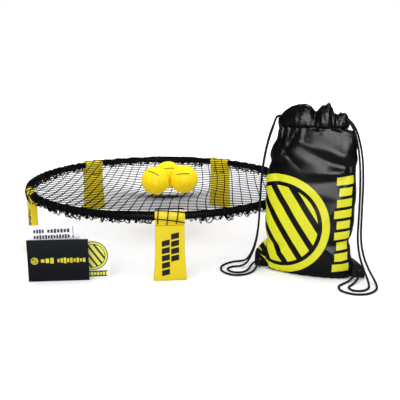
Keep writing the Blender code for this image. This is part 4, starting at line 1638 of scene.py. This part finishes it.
@dataclass
class Bag:
    """A stuffed drawstring bag: a full nylon body under a gathered and ruffled neck."""

    rows: list[list[Vector]] = field(default_factory=list, init=False)
    sections: tuple[tuple[float, float, float, float], ...] = (
        (0.0000, -0.118, 0.110, 0.034), (0.0120, -0.129, 0.119, 0.042), (0.0400, -0.131, 0.119, 0.047),
        (0.0950, -0.130, 0.106, 0.049), (0.1400, -0.134, 0.112, 0.050), (0.2000, -0.137, 0.116, 0.050),
        (0.2800, -0.138, 0.113, 0.049), (0.3250, -0.129, 0.113, 0.048), (0.3520, -0.128, 0.113, 0.046),
        (0.3900, -0.113, 0.112, 0.036), (0.4180, -0.108, 0.104, 0.027),
    )
    humps: tuple[Pair, ...] = (
        (-0.110, 0.446), (-0.098, 0.462), (-0.086, 0.473), (-0.069, 0.4835), (-0.040, 0.490), (-0.020, 0.486),
        (-0.006, 0.471), (0.005, 0.481), (0.018, 0.490), (0.030, 0.494), (0.037, 0.484), (0.045, 0.466),
        (0.056, 0.4675), (0.070, 0.469), (0.079, 0.463), (0.0865, 0.440),
    )
    lobes: tuple[tuple[float, float, float], ...] = ((-0.056, 0.053, 1.0), (0.020, 0.028, 0.9), (0.066, 0.023, 0.7))
    neck: float = 0.418
    channel: float = 0.4245
    columns: int = 240
    body_rows: int = 124
    neck_rows: int = 40
    throat_rows: int = 12
    squareness: float = 2.3
    top_half: float = 0.0985
    top_middle: float = -0.0120
    seams: tuple[float, ...] = (0.4150, 0.4085)
    creases: tuple[tuple[float, float, float, float, float, float], ...] = (
        (0.056, 0.366, -0.48, 0.070, 0.0160, 0.0050), (0.050, 0.334, -0.30, 0.065, 0.0150, -0.0080),
        (0.058, 0.306, 0.12, 0.052, 0.0130, 0.0060), (0.040, 0.283, 0.20, 0.060, 0.0140, -0.0040),
        (-0.030, 0.385, -0.35, 0.060, 0.0110, 0.0030), (-0.075, 0.350, -0.75, 0.045, 0.0080, -0.0040),
        (-0.060, 0.395, 1.10, 0.040, 0.0070, -0.0030), (0.100, 0.330, 1.35, 0.050, 0.0070, -0.0040),
        (-0.112, 0.325, 0.05, 0.035, 0.0100, -0.0060), (-0.100, 0.280, -1.20, 0.060, 0.0090, -0.0035),
        (0.090, 0.105, 0.10, 0.030, 0.0110, -0.0060), (-0.110, 0.085, -0.10, 0.032, 0.0110, -0.0065),
        (0.070, 0.070, -0.70, 0.040, 0.0080, 0.0040), (-0.085, 0.060, 0.70, 0.040, 0.0080, 0.0040),
        (0.000, 0.250, -0.25, 0.080, 0.0160, 0.0020), (-0.060, 0.210, 0.40, 0.060, 0.0140, -0.0020),
        (0.060, 0.200, 1.00, 0.060, 0.0120, 0.0022),
    )

    def section_point(self, z: float, turn: float) -> Vector:
        """The smooth outline at a height and a turn, before any fold."""
        left, right, deep = spline_at(self.sections, z)
        middle, half = (left + right) / 2, (right - left) / 2
        power = 2 / self.squareness
        x = middle + half * math.copysign(abs(math.cos(turn)) ** power, math.cos(turn))
        y = deep * math.copysign(abs(math.sin(turn)) ** power, math.sin(turn))
        return Vector((x, y, z))

    @staticmethod
    def ruffle(turn: float) -> float:
        """Uneven gathers round the neck, from about -1 to 1."""
        sway = 0.35 * math.sin(3 * turn + 0.7)
        return (
            0.40 * math.sin(9 * turn + 0.4 - sway) + 0.34 * math.sin(16 * turn + 1.1 + 2 * sway)
            + 0.18 * math.sin(27 * turn + 2.4 - 3 * sway) + 0.08 * math.sin(43 * turn + 0.3)
        )

    def folds(self, point: Vector, turn: float) -> float:
        """How far the cloth stands in or out at a point of the body.

        Args:
            point: The smooth place in the bag's frame.
            turn: Its turn round the bag.

        Returns:
            The distance outward.
        """
        x, z = point.x, point.z
        front = 1.0 if point.y < 0 else 0.8
        lump = noise.noise(Vector((x * 9.0, point.y * 9.0 + 3.1, z * 6.0))) * 0.0042
        drape = 0.0
        for cx, cz, angle, length, width, depth in self.creases:
            along = (x - cx) * math.cos(angle) + (z - cz) * math.sin(angle)
            off = -(x - cx) * math.sin(angle) + (z - cz) * math.cos(angle)
            bend = off - 0.9 * along * along
            drape += depth * math.exp(-((along / length) ** 2) - ((bend / width) ** 2))
        side = abs(math.cos(turn)) ** 6
        ripple = noise.noise(Vector((7.3 * math.copysign(1.0, point.x), 0.4, z * 34.0)))
        pucker = side * 0.0034 * ripple * min(1.0, z / 0.03)
        gather = 0.0
        if z > 0.33:
            rise = min(1.0, (z - 0.33) / 0.09)
            left = 0.35 + 0.65 / (1 + math.exp((x + 0.02) / 0.012))
            gather = 0.0030 * left * rise**1.6 * self.ruffle(turn)
        base = 0.0016 * math.exp(-((z / 0.03) ** 2)) * math.sin(26 * turn + 1.0)
        return lump + front * drape + pucker + gather + base

    def puff(self, x: float) -> float:
        """How far the neck swells at a place across it: one soft lobe for each fold, from 0 to 1."""
        return max(size * max(0.0, 1 - ((x - middle) / half) ** 2) ** 0.5 for middle, half, size in self.lobes)

    def top_point(self, turn: float) -> Vector:
        """The neck's top edge: three soft folds, nearly shut."""
        across, deep = math.cos(turn), math.sin(turn)
        x = self.top_middle + self.top_half * math.copysign(abs(across) ** 0.92, across)
        loose = 1 / (1 + math.exp(-x / 0.012))
        y = deep * (0.0050 + 0.0095 * self.puff(x)) + (0.0010 + 0.0040 * loose) * self.ruffle(turn) * abs(deep)
        z = spline_at(self.humps, x)[0] - 0.006 * max(0.0, deep)
        return Vector((x, y, z + (0.0004 + 0.0018 * loose) * math.sin(31 * turn) * abs(deep)))

    def outer_rows(self) -> list[list[Vector]]:
        """The cloth from the floor to the neck's top edge."""
        turns = [TURN * i / self.columns for i in range(self.columns)]
        rows: list[list[Vector]] = []
        for row in range(self.body_rows + 1):
            share = row / self.body_rows
            z = self.neck * (share - 0.08 * math.sin(TURN * share) / (TURN))
            line = []
            for turn in turns:
                point = self.section_point(z, turn)
                ahead = self.section_point(z, turn + 0.01)
                outward = Vector((ahead.y - point.y, point.x - ahead.x, 0)).normalized()
                line.append(point + outward * self.folds(point, turn))
            rows.append(line)
        tops = [self.top_point(turn) for turn in turns]
        base = rows[-1]
        for row in range(1, self.neck_rows + 1):
            share = row / self.neck_rows
            rows.append([self.neck_point(base[i], tops[i], turn, share) for i, turn in enumerate(turns)])
        return rows

    def neck_point(self, base: Vector, top: Vector, turn: float, share: float) -> Vector:
        """A point of the neck, between the body's shoulder and the top edge.

        Args:
            base: The shoulder's point below it.
            top: The top edge's point above it.
            turn: Its turn round the bag.
            share: How far up the neck it is, from 0 to 1.

        Returns:
            The point.
        """
        across, deep = math.cos(turn), math.sin(turn)
        step = min(1.0, share / 0.20)
        step = step * step * (3 - 2 * step)
        flare = 1 - 0.15 * max(0.0, across) ** 3 * math.exp(-(((share - 0.16) / 0.26) ** 2))
        x = base.x + (top.x * flare - base.x) * step
        z = self.neck + (top.z - self.neck) * share
        loose = 1 / (1 + math.exp(-x / 0.012))
        swell = 0.0130 * self.puff(top.x) * math.sin(math.pi * min(1.0, share * 1.05 + 0.02)) ** 0.8
        pinch = -0.0050 * math.exp(-(((z - self.channel) / 0.0050) ** 2))
        gather = (0.0012 + 0.0034 * loose) * math.sin(math.pi * min(1.0, share * 1.1)) ** 0.6
        pleats = 0.0016 * math.exp(-share / 0.30) * math.sin(37 * turn + 0.6 * math.sin(5 * turn))
        out = swell + pinch + gather * self.ruffle(turn + 0.25 * share) + pleats * step
        y = base.y + (top.y - base.y) * share**0.8 + out * deep
        return Vector((x + 0.35 * (pinch + pleats * step) * across, y, z))

    def throat(self, rim: Sequence[Vector]) -> list[list[Vector]]:
        """The cloth from the neck's top edge down into its shut throat."""
        middle_y = sum(point.y for point in rim) / len(rim)
        rows: list[list[Vector]] = []
        for row in range(1, self.throat_rows + 1):
            share = row / self.throat_rows
            gap = 1 - 0.96 * min(1.0, share * 1.25)
            inward, lift = (0.0011, 0.0004) if row == 1 else (0.0011 + 0.0016 * share, 0.0)
            line = []
            for point in rim:
                y = middle_y + (point.y - middle_y) * gap
                y -= math.copysign(min(inward, abs(y - middle_y) * 0.8), y - middle_y)
                x = self.top_middle + (point.x - self.top_middle) * (1 - 0.10 * share)
                line.append(Vector((x, y, point.z - 0.050 * share + lift)))
            rows.append(line)
        return rows

    def build_mesh(self) -> Mesh:
        """The whole bag as one closed sheet: outside, over the top edge, and down into the throat."""
        rows = self.rows + self.throat(self.rows[-1])
        bm = Maker.loft(rows, caps=False)
        for line, height in ((0, 0.0016), (len(rows) - 1, None)):
            bm.verts.ensure_lookup_table()
            edge = [bm.verts[line * self.columns + i] for i in range(self.columns)]
            centre = sum((vert.co for vert in edge), Vector()) / len(edge)
            if height is not None:
                centre.z = height
            tip = bm.verts.new(centre)
            for i, vert in enumerate(edge):
                bm.faces.new((vert, edge[(i + 1) % self.columns], tip))
        mesh = Maker.smooth(Maker.mesh_from(bm, "bag", None))
        self.map_front(mesh, rows)
        mesh.transform(BAG.matrix())
        return mesh

    def map_front(self, mesh: Mesh, rows: Sequence[Sequence[Vector]]) -> None:
        """Lays the print's map: metres along the cloth from the front's middle, and metres up.

        Args:
            mesh: The bag, still in its own frame.
            rows: The rows of points that it was made from.
        """
        values = np.full((len(mesh.vertices), 2), 9.0)
        front = 3 * self.columns // 4
        for index, row in enumerate(rows[: self.body_rows + self.neck_rows + 1]):
            start = row[front].x
            for side in (1, -1):
                reach = start
                for step in range(self.columns // 3):
                    here = (front + side * step) % self.columns
                    after = (front + side * (step + 1)) % self.columns
                    values[index * self.columns + here] = (reach, row[here].z)
                    flat = math.hypot(row[after].x - row[here].x, row[after].y - row[here].y)
                    reach += side * flat
        corners = np.empty(len(mesh.loops), np.int32)
        mesh.loops.foreach_get("vertex_index", corners)
        Maker.add_map(mesh, values[corners])

    def seam_lines(self) -> list[list[Vector]]:
        """The two sewn lines under the neck, just proud of the cloth."""
        lines = []
        for height in self.seams:
            row = min(self.rows[: self.body_rows], key=lambda line: abs(line[0].z - height))
            count = len(row)
            line = []
            for i in range(count + 1):
                before, here, after = row[(i - 1) % count], row[i % count], row[(i + 1) % count]
                outward = Vector((after.y - before.y, before.x - after.x, 0)).normalized()
                line.append(here + outward * 0.0003)
            lines.append(line)
        return lines

    def build(self) -> None:
        """Makes the body of the bag and the stitching under its neck."""
        self.rows = self.outer_rows()
        nylon = PrintedNylon().build()
        piece = add_piece("nylon_bag", self.build_mesh(), nylon, Body.BAG, Slot.NYLON, "bag_body")
        thread = PlainNylon("seam_thread", (0.012, 0.012, 0.014, 1.0), (0.030, 0.030, 0.034, 1.0)).build()
        mesh = Stitching(pitch=0.0046, length=0.0034, thread=0.00042).sew(self.seam_lines(), "neck_seam", thread)
        add_piece("neck_seam", mesh, thread, Body.BAG, Slot.CORD)


@dataclass
class CornerTabs:
    """The two sewn corner patches with their eyelets."""

    inner: float = 0.1065
    bottom: tuple[Pair, ...] = ((0.1400, 0.0004), (0.1560, 0.0010))
    thickness: float = 0.0024
    eyelet_out: float = 0.1420
    eyelet_height: float = 0.019
    barrel: float = 0.0040
    flange: float = 0.0064
    bore: float = 0.0030
    left_shift: float = 0.0105
    hole_points: int = 48
    left_top: tuple[Pair, ...] = (
        (0.1562, 0.0200), (0.1555, 0.0400), (0.1530, 0.0530), (0.1400, 0.0680), (0.1260, 0.0880),
    )
    right_top: tuple[Pair, ...] = ((0.1548, 0.0150), (0.1530, 0.0280), (0.1400, 0.0420), (0.1225, 0.0560))
    stitch_route: tuple[Pair, ...] = ((0.1265, 0.0045), (0.1500, 0.0040), (0.1490, 0.0270), (0.1265, 0.0475))

    def sides(self) -> tuple[tuple[str, int, float], ...]:
        """Each side's name, direction and shift outward."""
        return (("left", -1, self.left_shift), ("right", 1, 0.0))

    def reaches(self, side: int) -> list[tuple[Vector, float]]:
        """Ways out from the eyelet's middle, and how far each goes to the patch's outline."""
        top = self.left_top if side < 0 else self.right_top
        corners = [(self.inner, 0.0010), *self.bottom, *top, (self.inner, top[-1][1] + 0.0050)]
        hole = Vector((self.eyelet_out, self.eyelet_height))
        found = []
        for way in map(Vector, circle(1.0, self.hole_points)):
            hits = []
            for a, b in zip(corners, corners[1:] + corners[:1]):
                edge, start = Vector(b) - Vector(a), Vector(a) - hole
                cross = way.x * edge.y - way.y * edge.x
                if abs(cross) < 1e-9:
                    continue
                reach = (start.x * edge.y - start.y * edge.x) / cross
                share = (start.x * way.y - start.y * way.x) / cross
                if reach > 0 and -1e-6 <= share <= 1 + 1e-6:
                    hits.append(reach)
            found.append((way, min(hits)))
        return found

    def tab_mesh(self, side: int, shift: float) -> Mesh:
        """A soft-edged patch with a hole, whose inner edge runs under the bag's cloth."""
        loop = self.reaches(side)
        rim, half = self.barrel + 0.0003, self.thickness / 2
        rings = [
            [(rim + (reach - rim) * share, way, y) for way, reach in loop]
            for share, y in ((0.0, half * 0.6), (0.06, half), (0.5, half * 1.15), (0.93, half), (1.0, 0.0))
        ]
        rings += [[(r, way, -y) for r, way, y in ring] for ring in reversed(rings[:-1])]
        placed = [
            [
                (side * (self.eyelet_out + way.x * r + shift),
                 y + 0.0009 * math.sin(240 * way.x * r + 2.0) * min(1.0, r / 0.02),
                 max(0.0004, self.eyelet_height + way.y * r))
                for r, way, y in ring
            ]
            for ring in rings
        ]
        mesh = Maker.mesh_from(Maker.loft(placed + placed[:1], caps=False), "corner_patch", 50.0, weld=1e-7)
        spots = Maker.corner_points(mesh)
        front = spots[:, 1:2] < self.thickness * 0.25
        Maker.add_map(mesh, np.where(front, spots[:, [0, 2]], 9.0))
        mesh.transform(BAG.matrix())
        return mesh

    def eyelet_mesh(self, side: int, shift: float) -> Mesh:
        """A turned metal eyelet with rounded flanges."""
        face = self.thickness / 2 + 0.0003
        crown = face + 0.0010
        profile = [(self.bore, crown - 0.0002), (self.bore + 0.0006, crown), (self.flange - 0.0012, crown)]
        profile += [(self.flange - 0.0003, crown - 0.0003), (self.flange, face + 0.0003), (self.flange - 0.0002, face)]
        profile += [(self.barrel, face)]
        profile += [(r, -y) for r, y in reversed(profile)]
        middle = side * (self.eyelet_out + shift)
        rings = [[(middle + x, y, self.eyelet_height + z) for x, z in circle(r, 40)] for r, y in profile]
        mesh = Maker.mesh_from(Maker.loft(rings + rings[:1], caps=False), "eyelet", 40.0, weld=1e-7)
        mesh.transform(BAG.matrix())
        return mesh

    def stitch_lines(self, side: int, shift: float) -> list[list[Point]]:
        """Where the stitches run on both faces of a patch."""
        faces = (-self.thickness * 0.56, self.thickness * 0.56)
        return [[(side * (x + shift), y, z) for x, z in self.stitch_route] for y in faces]

    def build(self) -> None:
        """Makes both patches with their eyelets and stitches; the left one wears the bag's own print."""
        nylon = {-1: bpy.data.materials["printed_nylon"], 1: PlainNylon().build()}
        metal = Metal("eyelet_metal", (0.10, 0.10, 0.11, 1.0), 0.32).build()
        thread = PlainNylon("black_thread", (0.008, 0.008, 0.009, 1.0), (0.02, 0.02, 0.022, 1.0)).build()
        for word, side, shift in self.sides():
            tab, eyelet = self.tab_mesh(side, shift), self.eyelet_mesh(side, shift)
            sewn = Stitching().sew(self.stitch_lines(side, shift), "patch_stitches", thread)
            add_piece(f"corner_patch_{word}", tab, nylon[side], Body.BAG, Slot.NYLON, f"bag_tab_{word}")
            add_piece(f"eyelet_{word}", eyelet, metal, Body.BAG, Slot.STEEL, f"bag_eyelet_{word}")
            add_piece(f"patch_stitches_{word}", sewn, thread, Body.BAG, Slot.CORD)


# ---- drawcords ----------------------------------------------------------------------------------


@dataclass
class Drawcords:
    """Two doubled cords from the neck to the bottom corners, tied in a knot at each eyelet."""

    diameter: float = 0.0060
    gap: float = 0.0003
    sides: int = 10
    spacing: float = 0.0050
    knot_front: float = -0.0092
    tuck: float = 0.013
    lengths: dict[str, float] = field(default_factory=lambda: {
        "left_outer": 0.757, "left_inner": 0.643, "right_outer": 0.760, "right_inner": 0.639,
    })
    # Routes in the bag's frame, in millimetres.
    routes: dict[str, tuple[Point, ...]] = field(default_factory=lambda: {
        "left_outer": (
            (-113, -6, 452), (-120, -8, 434), (-132, -12, 397), (-143, -16, 340), (-149, -19, 275),
            (-151, -20, 200), (-155, -16, 130), (-164, -7, 80), (-178, 4, 40), (-196, 12, 12), (-219, 11, 3),
            (-243, -12, 2.6), (-256, -50, 2.6), (-242, -88, 2.6), (-208, -106, 2.6), (-174, -92, 2.6),
            (-157, -58, 4), (-153, -31, 11), (-152.5, -17.5, 17.6),
        ),
        "left_inner": (
            (-112, -16, 450), (-121, -20, 420), (-134, -26, 370), (-144, -31, 300), (-148, -34, 220),
            (-150, -33, 150), (-157, -29, 90), (-169, -26, 48), (-186, -27, 15), (-206, -31, 3.4),
            (-226, -43, 2.6), (-233, -64, 2.6), (-215, -84, 2.6), (-189, -79, 2.6), (-175, -57, 4),
            (-170.5, -34, 10), (-163.5, -16, 17.6),
        ),
        "right_outer": (
            (83, 5, 449), (102, 5, 426), (116, 4, 390), (127, 2, 340), (133, 0, 270), (135, -2, 190),
            (138, -4, 120), (148, -7, 72), (165, -14, 35), (183, -28, 10), (191, -51, 3), (190, -85, 2.6),
            (172, -118, 2.6), (138, -133, 2.6), (104, -122, 2.6), (93, -94, 2.6), (102, -69, 2.6),
            (115, -48, 5), (126, -28, 11), (133, -15, 17),
        ),
        "right_inner": (
            (83, -6, 447), (101, -9, 418), (114, -11, 376), (122.5, -13, 320), (127, -14, 250),
            (128.5, -15, 180), (130, -17, 120), (139, -26, 74), (154, -38, 38), (168, -54, 12), (171, -77, 3),
            (157, -102, 2.6), (132, -108, 2.6), (119, -90, 2.6), (127, -66, 3.4), (137, -41, 9), (141, -19, 16),
        ),
    })

    def path(self, name: str) -> list[Vector]:
        """One cord's middle line in the row frame, from just inside the neck's channel."""
        route = [(x * MM, y * MM, z * MM) for x, y, z in self.routes[name]]
        x, y, z = route[0]
        inner = (x - math.copysign(self.tuck, x), y * 0.6, z + self.tuck * 0.25)
        even = catmull([inner] + route, self.spacing, self.diameter / 2 + self.gap)
        return [BAG.point(*point) for point in even]

    def knot_mesh(self, centre: Point, side: int) -> Mesh:
        """An overhand knot of the cord itself with two short tails."""
        cx, cy, cz = centre
        loop: list[Point] = []
        count = 90
        for i in range(count + 1):
            t = TURN * i / count * 0.97 + 0.10
            x, z = math.sin(t) + 2 * math.sin(2 * t), math.cos(t) - 2 * math.cos(2 * t)
            loop.append((cx + side * 0.00225 * x, cy - 0.0034 * math.sin(3 * t), cz + 0.0019 * z))
        lines = [loop]
        for turn, length in ((-1.9, 0.017), (-1.25, 0.014)):
            x, z = math.cos(turn) * side, math.sin(turn)
            lines.append([
                (cx, cy - 0.001, cz), (cx + x * length * 0.5, cy - 0.004, cz + z * length * 0.45),
                (cx + x * length * 1.1, cy - 0.0065, max(0.0030, cz + z * length * 0.9)),
            ])
        tubes = (Maker.tube(catmull(line, 0.0012), self.diameter / 2, self.sides, "knot_line") for line in lines)
        mesh = Maker.joined(tubes, "cord_knot", None)
        mesh.transform(BAG.matrix())
        return mesh

    def build(self, tabs: CornerTabs) -> None:
        """Makes the knots and the four runs of cord."""
        braid = BraidedCord(self.diameter).build()
        knots: dict[str, bpy.types.Object] = {}
        for word, side, shift in tabs.sides():
            centre = (side * (tabs.eyelet_out + shift), self.knot_front, tabs.eyelet_height)
            mesh = self.knot_mesh(centre, side)
            knots[word] = add_piece(f"tied_knot_{word}", mesh, braid, Body.BAG, Slot.CORD, f"cord_knot_{word}")
        for name, length in self.lengths.items():
            path = self.path(name)
            mesh = Maker.tube(path, self.diameter / 2, self.sides, f"cord_{name}")
            cord = add_piece(f"cord_{name}", mesh, braid, Body.BAG, Slot.CORD, f"drawcord_{name}")
            knots[name.split("_")[0]]


# ---- papers -------------------------------------------------------------------------------------


@dataclass
class Papers:
    """A black card folded round a narrow spine, with a folded leaflet and a sticker card inside it."""

    skin: float = 0.0007
    card_height: float = 0.122
    rear_from: int = 20
    rear_cut: float = 0.009
    spine: tuple[Pair, ...] = ((-0.2270, -0.4275), (-0.3950, -0.4235), (-0.3950, -0.4185), (-0.2285, -0.4030))
    leaflet_start: Pair = (-0.3890, -0.4220)
    leaflet_way: Pair = (0.9992, 0.0393)
    leaflet_size: Point = (0.140, 0.163, 0.0020)
    sticker_start: Pair = (-0.2660, -0.4118)
    sticker_way: Pair = (1.0, 0.002)
    sticker_size: Point = (0.096, 0.113, 0.0008)

    def card_mesh(self) -> Mesh:
        """The card's folded line, with small bends at the folds, drawn up to its height."""
        a, b, c, d = (Vector(point) for point in self.spine)
        line: list[Vector] = []
        bend, bend_steps, count = 0.0008, 6, 14
        for before, corner, after in ((a, b, c), (b, c, d)):
            back, on = (before - corner).normalized() * bend, (after - corner).normalized() * bend
            for i in range(bend_steps):
                t = i / (bend_steps - 1)
                line.append(corner + back * (1 - t) ** 2 + on * t**2)
        front = [a.lerp(line[0], i / count) for i in range(count)]
        path = front + line + [line[-1].lerp(d, i / count) for i in range(1, count + 1)]
        reach = [0.0]
        faces: list[tuple[Vector, Vector]] = []
        for i, point in enumerate(path):
            way = (path[min(len(path) - 1, i + 1)] - path[max(0, i - 1)]).normalized()
            faces.append((point, point - Vector((-way.y, way.x)) * self.skin))
            if i:
                reach.append(reach[-1] + (point - path[i - 1]).length)
        base = Vector((RING.x, RING.y))
        rings = []
        edge = 0.0003
        for z, pull in ((edge, 0.11), (2 * edge, 0.0), (self.card_height - edge, 0.0), (self.card_height, 0.11)):
            sides: tuple[list[Point], list[Point]] = ([], [])
            for i, (outer, inner) in enumerate(faces):
                way = (inner - outer).normalized() * pull * self.skin
                for points, point in zip(sides, (outer + way + base, inner - way + base)):
                    points.append((point.x, point.y, self.level(z, i)))
            rings.append(sides[0] + sides[1][::-1])
        bm = Maker.loft(rings, caps=False)
        bm.verts.ensure_lookup_table()
        size = len(rings[0])
        for start, flip in ((0, True), ((len(rings) - 1) * size, False)):
            for i in range(size // 2 - 1):
                quad = [start + i, start + i + 1, start + size - 2 - i, start + size - 1 - i]
                bm.faces.new([bm.verts[k] for k in (reversed(quad) if flip else quad)])
        layer = bm.loops.layers.uv.new("surface")
        bm.verts.index_update()
        width = reach[len(front)]
        for face in bm.faces:
            columns = [loop.vert.index % size for loop in face.loops]
            on_front = all(column <= len(front) for column in columns) and abs(face.normal.z) < 0.5
            for loop, column in zip(face.loops, columns):
                loop[layer].uv = (width - reach[column], loop.vert.co.z) if on_front else (1.0, 1.0)
        return Maker.mesh_from(bm, "folded_card", 30.0)

    def level(self, z: float, step: int) -> float:
        """The height of a point of the card; the rear leaf is cut a little lower."""
        if step < self.rear_from or z < 0.5 * self.card_height:
            return z
        return z - self.rear_cut * min(1.0, (step - self.rear_from) / 3)

    @staticmethod
    def sheet_mesh(start: Pair, way: Pair, size: Point, leaves: int, name: str) -> Mesh:
        """A standing stack of thin leaves, mapped on its front face.

        Args:
            start: The near left corner on the floor, from the ring's middle.
            way: The direction of its front edge.
            size: Its width, height and thickness.
            leaves: How many leaves it shows at its edges.
            name: The mesh's name.

        Returns:
            The mesh.
        """
        width, height, thickness = size
        along = Vector((*way, 0)).normalized()
        back = Vector((-along.y, along.x, 0))
        origin = RING.point(*start, 0)
        bm = bmesh.new()
        layer = bm.loops.layers.uv.new("surface")
        columns, rows, lift = 14, 12, 0.0003
        each = thickness / leaves
        skin = each * (0.80 if leaves > 1 else 1.0)
        for leaf in range(leaves):
            inset = 0.0006 * (leaf % 2)
            grid: dict[tuple[int, int, int], bmesh.types.BMVert] = {}
            for i in range(columns + 1):
                for j in range(rows + 1):
                    u = inset + (width - 2 * inset) * i / columns
                    for face in (0, 1):
                        point = origin + along * u + back * (leaf * each + skin * face)
                        point.z = lift + (height - lift - inset) * j / rows
                        grid[i, j, face] = bm.verts.new(point)

            def add(keys: Sequence[tuple[int, int, int]], shown: bool) -> None:
                """Adds one face; only a face that shows is on the print's map."""
                for loop in bm.faces.new([grid[key] for key in keys]).loops:
                    spot = (loop.vert.co - origin).dot(along), loop.vert.co.z
                    loop[layer].uv = spot if shown else FAR_OFF

            for i in range(columns):
                for j in range(rows):
                    for face in (0, 1):
                        quad = [(i, j, face), (i + 1, j, face), (i + 1, j + 1, face), (i, j + 1, face)]
                        add(quad[::-1] if face else quad, face == 0 and leaf == 0)
            edge = [(i, 0) for i in range(columns)] + [(columns, j) for j in range(rows)]
            edge += [(i, rows) for i in range(columns, 0, -1)] + [(0, j) for j in range(rows, 0, -1)]
            for here, after in zip(edge, edge[1:] + edge[:1]):
                add([(*after, 0), (*here, 0), (*here, 1), (*after, 1)], False)
        return Maker.mesh_from(bm, name, 30.0)

    def build(self) -> None:
        """Makes the three papers."""
        leaflet = self.sheet_mesh(self.leaflet_start, self.leaflet_way, self.leaflet_size, 4, "folded_leaflet")
        sticker = self.sheet_mesh(self.sticker_start, self.sticker_way, self.sticker_size, 1, "sticker")
        black, white, shiny = PrintedBlackCard().build(), PrintedLeaflet().build(), PrintedSticker().build()
        add_piece("black_folded_card", self.card_mesh(), black, Body.CARD, Slot.CARD, "folded_card")
        add_piece("folded_leaflet", leaflet, white, Body.LEAFLET, Slot.PAPER, "leaflet")
        add_piece("sticker", sticker, shiny, Body.STICKER, Slot.PAPER, "sticker_card")


# ---- the whole set ------------------------------------------------------------------------------


def corners(box: Iterable[Iterable[float]]) -> list[list[float]]:
    """A box as plain lists of numbers."""
    return [[float(value) for value in corner] for corner in box]


def main() -> None:
    """Builds the set in order, camera and cords first."""
    logging.basicConfig(level=logging.INFO, format="%(name)s: %(message)s")
    cad_box = corners(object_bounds())
    studio = Studio()
    studio.set_camera()
    tabs = CornerTabs()
    Drawcords().build(tabs)
    rim = Rim()
    rim.build()
    balls = Balls()
    Net(rim, balls.centres(), balls.radius).build()
    Legs(rim).build()
    balls.build()
    Bag().build()
    tabs.build()
    Papers().build()
    studio.light_room()
    studio.lay_floor()
    {"cad": cad_box, "visual": corners(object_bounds())}


if __name__ == "__main__":
    main()
